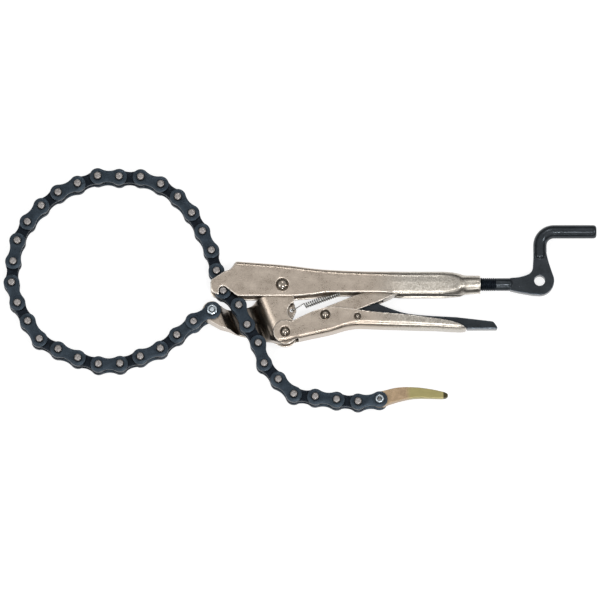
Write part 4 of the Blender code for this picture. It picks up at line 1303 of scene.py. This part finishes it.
@dataclass
class Chain:
    """Roller chain without rollers: outer and inner links in turn, from the anchor on."""

    pitch: float = 15.875
    pin_radius: float = 2.54
    press: float = 0.02
    bush_radius: float = 4.0
    bush_bore: float = 2.89
    end_radius: float = 5.95
    waist_radius: float = 4.15
    plate: float = 1.95
    mouth_width: float = 0.5
    mouth_depth: float = 0.45
    anchor_plate: float = 2.0
    anchor_end_radius: float = 6.5
    anchor_play: float = 0.1
    inner_face: float = 3.0
    pin_end: float = 9.8
    rim: float = 0.4
    sides: int = 28
    loop: tuple[int, ...] = (-150, -140, -140, -158, -160, -179, -197, -204, -209, -237, -241,
                             -254, -274, -281, -298, -310, -321, -335, -339, -362, -361,
                             -380, -397, -410, -420, -425, -436, -432)
    tail: tuple[int, ...] = (-403, -427, -419, -434, -409, -404, -367, -368, -365, -354)

    def headings(self) -> list[float]:
        """Headings of the links in degrees, the loop's changed least to end on the hook."""
        loop = numpy.radians(self.loop)
        for _ in range(8):
            reach = self.pitch * numpy.array((numpy.cos(loop), numpy.sin(loop)))
            miss = numpy.subtract(LAYOUT.hook, LAYOUT.anchor) - reach.sum(axis=1)
            slope = numpy.array((-reach[1], reach[0]))
            loop = loop + numpy.linalg.pinv(slope) @ miss
        return [*numpy.degrees(loop).tolist(), *self.tail]

    def points(self) -> list[Point]:
        """Pins of the chain, from the anchor bolt."""
        points = [LAYOUT.anchor]
        for heading in self.headings():
            points.append(polar(points[-1], self.pitch, heading))
        return points

    def outline(self, inset: float, first: float | None = None) -> list[Point]:
        """Waisted outline of a plate, made of two round ends and two hollow sides.

        Args:
            inset: Distance that it is drawn inside the true outline.
            first: Radius of the first end, where it isn't the usual one.

        Returns:
            Its points, the first pin at the origin and the second along X.
        """
        half = self.pitch / 2
        end, waist = self.end_radius, self.waist_radius
        hollow = (half ** 2 + waist ** 2 - end ** 2) / (2 * (end - waist))
        centre = (half, waist + hollow)
        touch = math.degrees(math.atan2(centre[1], centre[0]))
        start = (first or end) - inset
        side = math.degrees(math.atan2(centre[1], half))
        shape = arc((0.0, 0.0), start, touch, 360 - touch, 22)
        low = arc((half, -centre[1]), hollow + inset, 180 - side, side, 8)
        shape += low[1:-1]
        shape += arc((self.pitch, 0.0), end - inset, touch - 180, 180 - touch, 22)
        high = arc(centre, hollow + inset, -side, side - 180, 8)
        return shape + high[1:-1]

    def plate_mesh(self, low: float, high: float, holes: Sequence[tuple[float, float]],
                   first: float | None = None) -> Mesh:
        """Makes a punched plate with rolled rims and its holes.

        Args:
            low: Lower face.
            high: Upper face.
            holes: Holes as (x, radius) pairs.
            first: Radius of the first end, where it isn't the usual one.

        Returns:
            The plate.
        """
        rim = self.rim
        rings = [(rim, low), (rim * 0.3, low + rim * 0.3), (0.0, low + rim),
                 (0.0, high - rim), (rim * 0.3, high - rim * 0.3), (rim, high)]
        mesh = loft([[(x, y, z) for x, y in self.outline(inset, first)] for inset, z in rings])
        for x, radius in holes:
            bore = turned([(radius, low - 5), (radius, high + 5)], (x, 0.0), self.sides)
            mesh = combine(mesh, bore)
            wide = radius + self.mouth_width
            mouth = [(radius + 0.05, high - self.mouth_depth), (wide, high + 0.02),
                     (wide, high + 1)]
            if high < 0:
                mouth = [(wide, low - 1), (wide, low - 0.02),
                         (radius + 0.05, low + self.mouth_depth)]
            mesh = combine(mesh, turned(mouth, (x, 0.0), self.sides))
        return mesh

    def pin_mesh(self, x: float, low: float, high: float) -> Mesh:
        """Makes a pin with peened ends."""
        r = self.pin_radius
        profile = [(r - 0.9, low), (r - 0.35, low + 0.12), (r, low + 0.5), (r, high - 0.5),
                   (r - 0.35, high - 0.12), (r - 0.9, high)]
        return turned(profile, (x, 0.0), self.sides)

    def bush_mesh(self, x: float) -> Mesh:
        """Makes a bush that is pressed into both inner plates."""
        reach, outer, bore = self.inner_face + 0.2, self.bush_radius, self.bush_bore
        tube = turned([(outer, -reach), (outer, reach)], (x, 0.0), self.sides)
        return combine(tube, turned([(bore, -9), (bore, 9)], (x, 0.0), self.sides))

    def link_parts(self, outer: bool, finishes: Finishes, end_pin: bool = True) -> Mesh:
        """Makes one link, lying along X from its first pin.

        Args:
            outer: True for an outer link with pins, False for an inner one with bushes.
            finishes: The shared materials.
            end_pin: Whether an outer link carries its second pin.

        Returns:
            The link with its materials.
        """
        inner_top = self.inner_face + self.plate
        low = inner_top + LAYOUT.fit if outer else self.inner_face
        high = low + self.plate
        parts = []
        hole = self.pin_radius - self.press if outer else self.bush_bore
        for sign in (1, -1):
            faces = sorted((sign * low, sign * high))
            mesh = self.plate_mesh(*faces, [(0.0, hole), (self.pitch, hole)])
            parts.append(painted(mesh, finishes.oxide))
        if outer:
            for x in (0.0, self.pitch) if end_pin else (0.0,):
                parts.append(painted(self.pin_mesh(x, -self.pin_end, self.pin_end),
                                     finishes.pin))
        else:
            for x in (0.0, self.pitch):
                parts.append(painted(self.bush_mesh(x), finishes.oxide))
        return joined(parts)

    def tree(self) -> Tree:
        """Makes the tree that sets links on their first pins, each turned to its heading."""
        tree = empty_tree("links on pins", {
            "Pins": "Geometry", "Outer Link": "Object", "Inner Link": "Object",
            "Size": "Float", "Outer Finish": "Material", "Inner Finish": "Material",
            "Pin Finish": "Material"}, "Links")
        given = add_node(tree, "NodeGroupInput")
        heading = add_node(tree, "GeometryNodeInputNamedAttribute", {"Name": "heading"},
                           data_type="FLOAT").outputs[0]
        outer = add_node(tree, "GeometryNodeInputNamedAttribute", {"Name": "outer"},
                         data_type="BOOLEAN").outputs[0]
        inner = add_node(tree, "FunctionNodeBooleanMath", {0: outer}, operation="NOT").outputs[0]
        turn = add_node(tree, "ShaderNodeCombineXYZ", {"Z": heading}).outputs[0]
        size = add_node(tree, "ShaderNodeCombineXYZ", {
            "X": given.outputs["Size"], "Y": given.outputs["Size"],
            "Z": given.outputs["Size"]}).outputs[0]
        groups = []
        for kind, chosen in (("Outer", outer), ("Inner", inner)):
            shape = add_node(tree, "GeometryNodeObjectInfo", {
                "Object": given.outputs[f"{kind} Link"]}).outputs["Geometry"]
            set_out = add_node(tree, "GeometryNodeInstanceOnPoints", {
                "Points": given.outputs["Pins"], "Selection": chosen, "Instance": shape,
                "Rotation": turn, "Scale": size}).outputs[0]
            real = add_node(tree, "GeometryNodeRealizeInstances", {0: set_out}).outputs[0]
            groups.append(add_node(tree, "GeometryNodeSetMaterial", {
                "Geometry": real, "Material": given.outputs[f"{kind} Finish"]}).outputs[0])
        both = add_node(tree, "GeometryNodeJoinGeometry", {0: groups[0]})
        tree.links.new(groups[1], both.inputs[0])
        real = add_node(tree, "GeometryNodeRealizeInstances", {0: both.outputs[0]})
        pins = add_node(tree, "GeometryNodeInputNamedAttribute", {"Name": "is_pin"},
                        data_type="BOOLEAN").outputs[0]
        done = add_node(tree, "GeometryNodeSetMaterial", {
            "Geometry": real.outputs[0], "Selection": pins,
            "Material": given.outputs["Pin Finish"]})
        add_node(tree, "NodeGroupOutput", {0: done.outputs[0]})
        return tree

    def source(self, mesh: Mesh, finishes: Finishes) -> Object:
        """Marks which faces of a link belong to its pins and puts it in the scene."""
        flags = mesh.attributes.new("is_pin", "BOOLEAN", "FACE")
        own = [finish is finishes.pin for finish in mesh.materials]
        flags.data.foreach_set("value", [own[face.material_index] for face in mesh.polygons])
        return loose_object(mesh)

    def kit(self, finishes: Finishes) -> LinkKit:
        """Makes the tree and its three links, of which the last has the spike's eyelet."""
        links = (self.link_parts(True, finishes),
                 self.link_parts(True, finishes, end_pin=False),
                 self.link_parts(False, finishes))
        return LinkKit(self.tree(), *(self.source(link, finishes) for link in links))

    def run(self, body: str, numbers: Sequence[int], kit: LinkKit, finishes: Finishes,
            extra: Sequence[Mesh] = (), nodes: Sequence[str] = ()) -> None:
        """Builds the links that move as one body.

        Args:
            body: The body that they ride on.
            numbers: Numbers of the links.
            kit: The tree and the links that it sets.
            finishes: The shared materials.
            extra: Meshes that belong to the piece and are in place already.
            nodes: Solids that the extra meshes stand for.
        """
        headings, points = self.headings(), self.points()
        is_last = numbers[0] == len(headings)
        pins = bpy.data.meshes.new("pins")
        pins.from_pydata([(*points[n - 1], 0.0) for n in numbers], [], [])
        turns = pins.attributes.new("heading", "FLOAT", "POINT")
        turns.data.foreach_set("value", [math.radians(headings[n - 1]) for n in numbers])
        kinds = pins.attributes.new("outer", "BOOLEAN", "POINT")
        kinds.data.foreach_set("value", [n % 2 == 0 for n in numbers])
        # Inner links take the darker oxide: painted shade under the outer plates.
        mesh = grown(pins, kit.tree, {
            "Outer Link": kit.last if is_last else kit.outer, "Inner Link": kit.inner,
            "Size": 1.0, "Outer Finish": finishes.oxide, "Inner Finish": finishes.dark_and_shaded_oxide,
            "Pin Finish": finishes.pin})
        if extra:
            mesh = joined([mesh, *extra])
        links = (f"chain_link_{n:02d}" for n in numbers)
        publish(f"chain_run_{numbers[0]:02d}", mesh, body, [*nodes, *links])

    def build(self, finishes: Finishes) -> None:
        """Builds the anchor plates and every run of links, one piece for each body."""
        bodies = frame["record"]["behaviour"]["bodies"]
        inner = LowerJaw.wall_outer + LAYOUT.fit
        faces = (inner, inner + self.anchor_plate)
        holes = [(0.0, LowerJaw.anchor_bore), (self.pitch, self.pin_radius + self.anchor_play)]
        plates = []
        for sign in (1, -1):
            mesh = self.plate_mesh(*sorted(sign * face for face in faces), holes,
                                   self.anchor_end_radius)
            mesh = placed(mesh, LAYOUT.anchor, self.headings()[0])
            plates.append(painted(mesh, finishes.oxide))
        kit = self.kit(finishes)
        for body, members in bodies.items():
            numbers = [int(m[-2:]) for m in members if m.startswith("chain_link_")]
            if body == "anchor_link":
                self.run(body, numbers, kit, finishes, plates,
                         ["anchor_plate_near", "anchor_plate_far"])
            elif numbers:
                self.run(body, numbers, kit, finishes)
        for source in (kit.outer, kit.last, kit.inner):
            bpy.data.objects.remove(source)


@dataclass
class AnchorBolt:
    """Bolt and nut that hold the first plates of the chain on the jaw's boss."""

    corner: float = 4.05
    chamfer: float = 0.45
    edge: float = 0.15
    head_height: float = 2.59
    nut_height: float = 3.2
    shoulder: float = 2.5
    thread: float = 2.0
    plate_outer: float = 9.6

    def hexagon(self, low: float, high: float) -> Mesh:
        """Makes a hexagon with the corners turned off at both faces."""
        ring = arc(LAYOUT.anchor, self.corner, 30, 390, 6)[:-1]
        mesh = prism(ring, low, high)
        flat = self.corner * math.cos(math.radians(30))
        profile = [(flat - 0.1, low), (self.corner + 0.05, low + self.chamfer),
                   (self.corner + 0.05, high - self.chamfer), (flat - 0.1, high)]
        return combine(mesh, turned(profile, LAYOUT.anchor), Cut.KEEP)

    def build(self, finishes: Finishes) -> None:
        """Builds the bolt and the nut and dresses them in bright zinc."""
        outer = self.plate_outer
        head = outer + LAYOUT.fit
        bolt = self.hexagon(-head - self.head_height, -head)
        shank = turned([(self.shoulder, -head - 1), (self.shoulder, outer),
                        (self.thread, outer + 0.1), (self.thread, head + self.nut_height + 0.3),
                        (self.thread - 0.5, head + self.nut_height + 0.8)], LAYOUT.anchor)
        bolt = combine(bolt, shank, Cut.JOIN)
        publish("anchor_bolt_turned", painted(bevelled(bolt, self.edge), finishes.zinc),
                "jaw", ["anchor_bolt"])
        nut = self.hexagon(head, head + self.nut_height)
        nut = combine(nut, turned([(self.thread + 0.9, head + self.nut_height + 1),
                                   (self.thread + 0.2, head + self.nut_height - 0.6)],
                                  LAYOUT.anchor))
        nut = drill(nut, LAYOUT.anchor, self.thread + 0.15)
        publish("anchor_nut_turned", painted(bevelled(nut, self.edge), finishes.zinc),
                "jaw", ["anchor_nut"])


@dataclass
class FeedSpike:
    """Curved spike on the loose end, with the hollow rivet that it turns on."""

    length: float = 50.5
    root_half: float = 4.8
    tip_half: float = 2.2
    layers: int = 6
    turn: float = -6.0
    pin_bore: float = 2.84
    bore: float = 1.6
    roll: float = 0.6
    face: float = 7.5
    grid: float = 0.32

    def spike_mesh(self) -> Mesh:
        """Makes the spike along X, thinner to its tip."""
        top = smooth([(1.0, 6.3), (13.4, 9.3), (26.2, 9.6), (38.0, 8.3), (47.6, 6.3)], 6)
        tip = smooth([(50.0, 5.2), (50.5, 4.0), (50.2, 2.8), (48.9, 1.7)], 3)
        under = smooth([(46.0, 1.4), (28.1, 1.9), (17.1, 0.3), (6.8, -2.7), (3.6, -4.3)], 6)
        outline = top + tip + under + arc((0.0, 0.0), 4.5, 290, 105, 18)
        rings = []
        for layer in range(self.layers + 1):
            z = self.root_half * (2 * layer / self.layers - 1)
            rings.append([(x, y, z) for x, y in outline])
        mesh = loft(rings)
        thin = self.tip_half / self.root_half
        for vertex in mesh.vertices:
            share = max(0.0, vertex.co.x / self.length)
            vertex.co.z *= 1 - (1 - thin) * share
        return soften(drill(mesh, (0.0, 0.0), self.pin_bore), self.grid)

    def build(self, finishes: Finishes) -> None:
        """Builds the spike and its eyelet."""
        chain = Chain()
        heading = chain.headings()[-1] + self.turn
        pivot = chain.points()[-1]
        spike = placed(self.spike_mesh(), pivot, heading)
        publish("feed_spike_blade", painted(spike, finishes.chromate), "feed_spike",
                ["feed_spike"])
        body = next(b for b, m in frame["record"]["behaviour"]["bodies"].items()
                    if "spike_eyelet" in m)
        rim, face, end = chain.pin_radius + self.roll, self.face, chain.pin_end
        half = [(chain.pin_radius, 0.0), (chain.pin_radius, face), (rim, face),
                (rim + 0.05, face + 0.5), (rim, end - 0.5), (rim - 0.35, end - 0.12),
                (rim - 0.8, end), (self.bore + 0.25, end - 0.15)]
        profile = [(r, -z) for r, z in reversed(half)] + half[1:]
        mesh = drill(turned(profile, (0.0, 0.0)), (0.0, 0.0), self.bore)
        mesh = painted(mesh, finishes.zinc)
        # The bore's wall takes the darker oxide: painted shade inside the hole.
        mesh.materials.append(finishes.dark_and_shaded_oxide)
        for wall in mesh.polygons:
            wall.material_index = int(wall.center.xy.length < self.bore + 0.1)
        mesh = placed(mesh, pivot, heading)
        publish("spike_eyelet_rolled", mesh, body, ["spike_eyelet"])


@dataclass
class ScrewAndCrank:
    """Adjusting screw in the sleeve, and the crank on its outer end."""

    radius: float = 4.95
    depth: float = 0.5
    lead: float = 1.5
    flank: Point = (0.08, 0.42)
    run_out: float = 1.2
    sides: int = 40
    rows_per_turn: int = 10
    tip_gap: float = 0.9
    tip_length: float = 7.0
    tip_radius: float = 3.2
    end: float = 157.5
    neck_radius: float = 4.7
    eye: Point = (189.9, 4.2)
    eye_radius: float = 10.8
    eye_hole: float = 3.95
    paddle_half: float = 3.5
    flat_length: float = 21.9
    rod_radius: float = 5.0
    arm_x: float = 190.3
    bar_y: float = 41.5
    bend_radius: float = 10.5
    bar_end: float = 232.19
    grid: float = 0.3

    def thread_tree(self) -> Tree:
        """Makes the tree that rolls a grid into a threaded bar along X.

        The grid's Y goes round the bar, and its radius falls and rises once in each lead. Each
        row of the table names a value, what makes it, and the two values that it is made of; a
        RAMP's second value is where the first one's 0 and 1 lie.
        """
        sizes = ("Major Radius", "Depth", "Lead", "Start", "End", "Axis")
        tree = empty_tree("rolled thread", {
            "Grid": "Geometry", **dict.fromkeys(sizes, "Float"), "Finish": "Material"}, "Bar")
        given = add_node(tree, "NodeGroupInput").outputs
        spot = add_node(tree, "ShaderNodeSeparateXYZ", {
            0: add_node(tree, "GeometryNodeInputPosition").outputs[0]}).outputs
        made = {"x": spot["X"], "round": spot["Y"], **{name: given[name] for name in sizes}}
        for name, operation, first, second in (
                ("turns", "DIVIDE", "round", math.tau),
                ("wound", "DIVIDE", "x", "Lead"),
                ("phase", "SUBTRACT", "wound", "turns"),
                ("wave", "PINGPONG", "phase", 0.5),
                ("flank", "RAMP", "wave", self.flank),
                ("full", "ADD", "Start", self.run_out),
                ("faded", "RAMP", "x", ("Start", "full")),
                ("groove", "MULTIPLY", "flank", "Depth"),
                ("drop", "MULTIPLY", "groove", "faded"),
                ("radius", "SUBTRACT", "Major Radius", "drop"),
                ("after", "GREATER_THAN", "x", "Start"),
                ("before", "LESS_THAN", "x", "End"),
                ("inside", "MULTIPLY", "after", "before"),
                ("reach", "MULTIPLY", "radius", "inside"),
                ("cosine", "COSINE", "round", 0.0),
                ("sine", "SINE", "round", 0.0),
                ("across", "MULTIPLY", "cosine", "reach"),
                ("z", "MULTIPLY", "sine", "reach"),
                ("y", "ADD", "across", "Axis")):
            if operation == "RAMP":
                low, high = (made.get(limit, limit) for limit in second)
                node = add_node(tree, "ShaderNodeMapRange", {
                    "Value": made[first], "From Min": low, "From Max": high})
            else:
                node = add_node(tree, "ShaderNodeMath", {
                    0: made[first], 1: made.get(second, second)}, operation=operation)
            made[name] = node.outputs[0]
        place = add_node(tree, "ShaderNodeCombineXYZ", {
            "X": made["x"], "Y": made["y"], "Z": made["z"]}).outputs[0]
        bar = add_node(tree, "GeometryNodeSetPosition", {
            "Geometry": given["Grid"], "Position": place}).outputs[0]
        real = add_node(tree, "GeometryNodeRealizeInstances", {0: bar}).outputs[0]
        done = add_node(tree, "GeometryNodeSetMaterial", {
            "Geometry": real, "Material": given["Finish"]}).outputs[0]
        add_node(tree, "NodeGroupOutput", {0: done})
        return tree

    def build_screw(self, finishes: Finishes) -> None:
        """Builds the threaded bar and its plain tip.

        The grid has one more row at each end, a nudge outside Start and End. The tree draws
        those rows in to the axis, which closes the bar.
        """
        start = LAYOUT.toggle_tip[0] + ToggleLink.tip_radius + self.tip_gap + self.tip_length
        along = int((self.end - start) / self.lead * self.rows_per_turn)
        shell = bmesh.new()
        rows = []
        for step in range(-1, along + 2):
            x = start + (self.end - start) * min(max(step, 0), along) / along
            x += -NUDGE if step < 0 else NUDGE if step > along else 0.0
            rows.append([shell.verts.new((x, math.tau * i / self.sides, 0.0))
                         for i in range(self.sides + 1)])
        for row, after in zip(rows, rows[1:]):
            for i in range(self.sides):
                shell.faces.new((row[i], row[i + 1], after[i + 1], after[i]))
        sheet = bpy.data.meshes.new("thread sheet")
        shell.to_mesh(sheet)
        shell.free()
        bar = grown(sheet, self.thread_tree(), {
            "Major Radius": self.radius, "Depth": self.depth, "Lead": self.lead,
            "Start": start - NUDGE / 2, "End": self.end + NUDGE / 2, "Axis": LAYOUT.screw_y,
            "Finish": finishes.dark_and_shaded_oxide})
        tip = start - self.tip_length
        plain = turned_along_x([
            (tip, self.tip_radius * 0.5), (tip + 0.6, self.tip_radius * 0.9),
            (tip + 2.0, self.tip_radius), (tip + 6.0, self.tip_radius),
            (tip + 7.3, self.tip_radius + 0.4)], LAYOUT.screw_y)
        mesh = joined([bar, painted(plain, finishes.dark_and_shaded_oxide)])
        publish("adjusting_screw_thread", mesh, "adjusting_screw", ["adjusting_screw"],
                sharp=60.0)

    def build_crank(self, finishes: Finishes) -> None:
        """Builds the round bar, pressed flat round the eye and bent out to the hand bar."""
        root = self.eye[0] - self.flat_length
        top = LAYOUT.screw_y + self.neck_radius
        low = LAYOUT.screw_y - self.neck_radius
        left, right = self.arm_x - self.rod_radius, self.arm_x + self.rod_radius
        shape = smooth([(root, low), (root + 7.7, low - 1.8), (root + 17.0, low - 3.4)], 7)
        shape += arc(self.eye, self.eye_radius, 265, 385, 26)
        shape += smooth([(right + 2.3, 15.0), (right + 1.0, 19.5), (right - 0.3, 25.0)], 6)
        shape += smooth([(left + 0.3, 25.0), (left - 0.1, 18.0), (left - 0.5, 13.4),
                         (left - 1.9, 10.3), (left - 5.5, 8.2), (root + 6.0, top + 0.2),
                         (root, top - 0.3)], 6)
        mesh = prism(shape, -self.paddle_half, self.paddle_half)
        start = self.end - 0.2
        neck = turned_along_x([
            (start, self.neck_radius - 0.5), (start + 0.5, self.neck_radius),
            (root - 0.2, self.neck_radius), (root + 0.9, self.neck_radius - 0.25),
            (root + 1.7, self.neck_radius - 0.8), (root + 2.1, self.paddle_half - 0.3)],
            LAYOUT.screw_y)
        mesh = combine(mesh, neck, Cut.JOIN)
        centre = (self.arm_x + self.bend_radius, self.bar_y - self.bend_radius)
        path = [((self.arm_x, 20.4), self.paddle_half - 0.3), ((self.arm_x, 20.8), 4.1),
                ((self.arm_x, 21.6), self.rod_radius - 0.25),
                ((self.arm_x, 22.6), self.rod_radius)]
        path += [(p, self.rod_radius) for p in arc(centre, self.bend_radius, 180, 90, 18)]
        path += [((self.bar_end - back, self.bar_y), self.rod_radius - less)
                 for back, less in ((2.2, 0.0), (1.1, 0.3), (0.4, 0.8), (0.0, 1.8))]
        rod = swept([(Vector((*p, 0.0)), r) for p, r in path], self.sides)
        mesh = combine(mesh, rod, Cut.JOIN)
        mesh = drill(mesh, self.eye, self.eye_hole)
        mesh = soften(mesh, self.grid, passes=3)
        publish("crank_bar", painted(mesh, finishes.forged), "crank_handle", ["crank_handle"])

    def build(self, finishes: Finishes) -> None:
        """Builds the oiled screw and the crank in forged black."""
        self.build_screw(finishes)
        self.build_crank(finishes)


# --- studio ----------------------------------------------------------------------------------


@dataclass(frozen=True)
class Lamp:
    """One soft square lamp: its place in metres, the length of its side and its watts."""

    name: str
    spot: Place
    side: float
    power: float

    def build(self) -> None:
        """Hangs the lamp and turns it to the tool."""
        light = bpy.data.lights.new(self.name, "AREA")
        light.size = self.side
        light.energy = self.power
        lamp = bpy.data.objects.new(self.name, light)
        lamp.location = self.spot
        lamp.rotation_euler = (-Vector(self.spot)).to_track_quat("-Z", "Y").to_euler()
        bpy.context.scene.collection.objects.link(lamp)


@dataclass
class Studio:
    """White table, five soft lamps, a room that is bright above, and a long lens."""

    elevation: float = 79.0
    lens: float = 500.0
    view_width: float = 442.0
    aim: Place = (13.06, -12.05, 11.3)
    table_side: float = 6.0
    table_colour: str = "#ACACAC"
    table_glow: float = 0.8
    walls: float = 0.05
    walls_top: float = 0.3
    ceiling: float = 0.66
    ceiling_edge: float = 0.8
    lamps: tuple[Lamp, ...] = (
        Lamp("left window", (-0.75, -0.2, 1.15), 0.45, 2.0),
        Lamp("right window", (0.95, -0.1, 1.0), 0.2, 2.0),
        Lamp("front window", (0.05, -1.1, 0.8), 0.22, 2.2),
        Lamp("back window", (0.05, 0.75, 1.2), 0.16, 0.9),
        Lamp("overhead window", (0.17, -0.42, 1.4), 0.11, 2.8))

    def build_floor(self) -> None:
        """Builds the table, white to the lens, which still takes the tool's soft shadow."""
        bpy.ops.mesh.primitive_plane_add(size=self.table_side, location=(0, 0, 0))
        table = bpy.context.object
        table.name = "table"
        paint = bpy.data.materials.new("white table")
        paint.use_nodes = True
        tree = paint.node_tree
        shader = tree.nodes["Principled BSDF"]
        shader.inputs["Base Color"].default_value = linear(self.table_colour)
        shader.inputs["Roughness"].default_value = 0.9
        shader.inputs["Emission Color"].default_value = linear(WHITE)
        path = add_node(tree, "ShaderNodeLightPath").outputs
        seen = add_node(tree, "ShaderNodeMath", {
            0: path["Is Camera Ray"], 1: path["Is Glossy Ray"]}, operation="MAXIMUM").outputs[0]
        seen = add_node(tree, "ShaderNodeMath", {
            0: seen, 1: path["Is Transmission Ray"]}, operation="MAXIMUM").outputs[0]
        glow = add_node(tree, "ShaderNodeMath", {0: seen, 1: self.table_glow},
                        operation="MULTIPLY").outputs[0]
        tree.links.new(glow, shader.inputs["Emission Strength"])
        table.data.materials.append(paint)

    def build_world(self) -> None:
        """Builds the room: a bright ceiling over dark walls, as a light tent leaves them."""
        world = bpy.data.worlds.new("room")
        bpy.context.scene.world = world
        world.use_nodes = True
        tree = world.node_tree
        way = add_node(tree, "ShaderNodeTexCoord").outputs["Generated"]
        parts = add_node(tree, "ShaderNodeSeparateXYZ", {0: way}).outputs
        level = add_node(tree, "ShaderNodeMapRange", {
            "Value": parts["Z"], "From Min": self.walls_top, "From Max": self.ceiling_edge,
            "To Min": self.walls, "To Max": self.ceiling},
            interpolation_type="SMOOTHSTEP").outputs[0]
        camera = add_node(tree, "ShaderNodeLightPath").outputs["Is Camera Ray"]
        shown = add_node(tree, "ShaderNodeMix", {0: camera, 2: level, 3: 1.0},
                         data_type="FLOAT").outputs[0]
        tree.links.new(shown, tree.nodes["Background"].inputs["Strength"])
        tree.nodes["Background"].inputs["Color"].default_value = linear(WHITE)

    def build_camera(self) -> None:
        """Sets the camera over the front of the tool, looking down."""
        data = bpy.data.cameras.new("lens")
        data.lens = self.lens
        camera = bpy.data.objects.new("camera", data)
        bpy.context.scene.collection.objects.link(camera)
        lift = math.radians(self.elevation)
        back = Vector((0.0, -math.cos(lift), math.sin(lift)))
        half = math.atan(data.sensor_width / 2 / data.lens)
        reach = self.view_width / 2 * MM / math.tan(half)
        aim = ORIGIN + Vector(self.aim) * MM
        camera.location = aim + back * reach
        camera.rotation_euler = (-back).to_track_quat("-Z", "Y").to_euler()
        data.clip_start, data.clip_end = 0.01, 20.0
        bpy.context.scene.camera = camera

    def build(self) -> None:
        """Sets the whole studio."""
        bpy.context.scene.view_settings.view_transform = "Standard"
        self.build_floor()
        self.build_world()
        for lamp in self.lamps:
            lamp.build()
        self.build_camera()


def main() -> None:
    """Builds every sub-assembly in order."""
    logging.basicConfig(level=logging.INFO, format="%(message)s")
    finishes = Finishes.make()
    for part in (UpperHandle(), LowerJaw(), LowerHandle(), ToggleLink(), ReleaseLever(),
                 Rivets(), ReturnSpring(), Chain(), AnchorBolt(), FeedSpike(),
                 ScrewAndCrank()):
        part.build(finishes)
        LOG.info("%s built", type(part).__name__)
    Studio().build()
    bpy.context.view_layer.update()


if __name__ == "__main__":
    main()
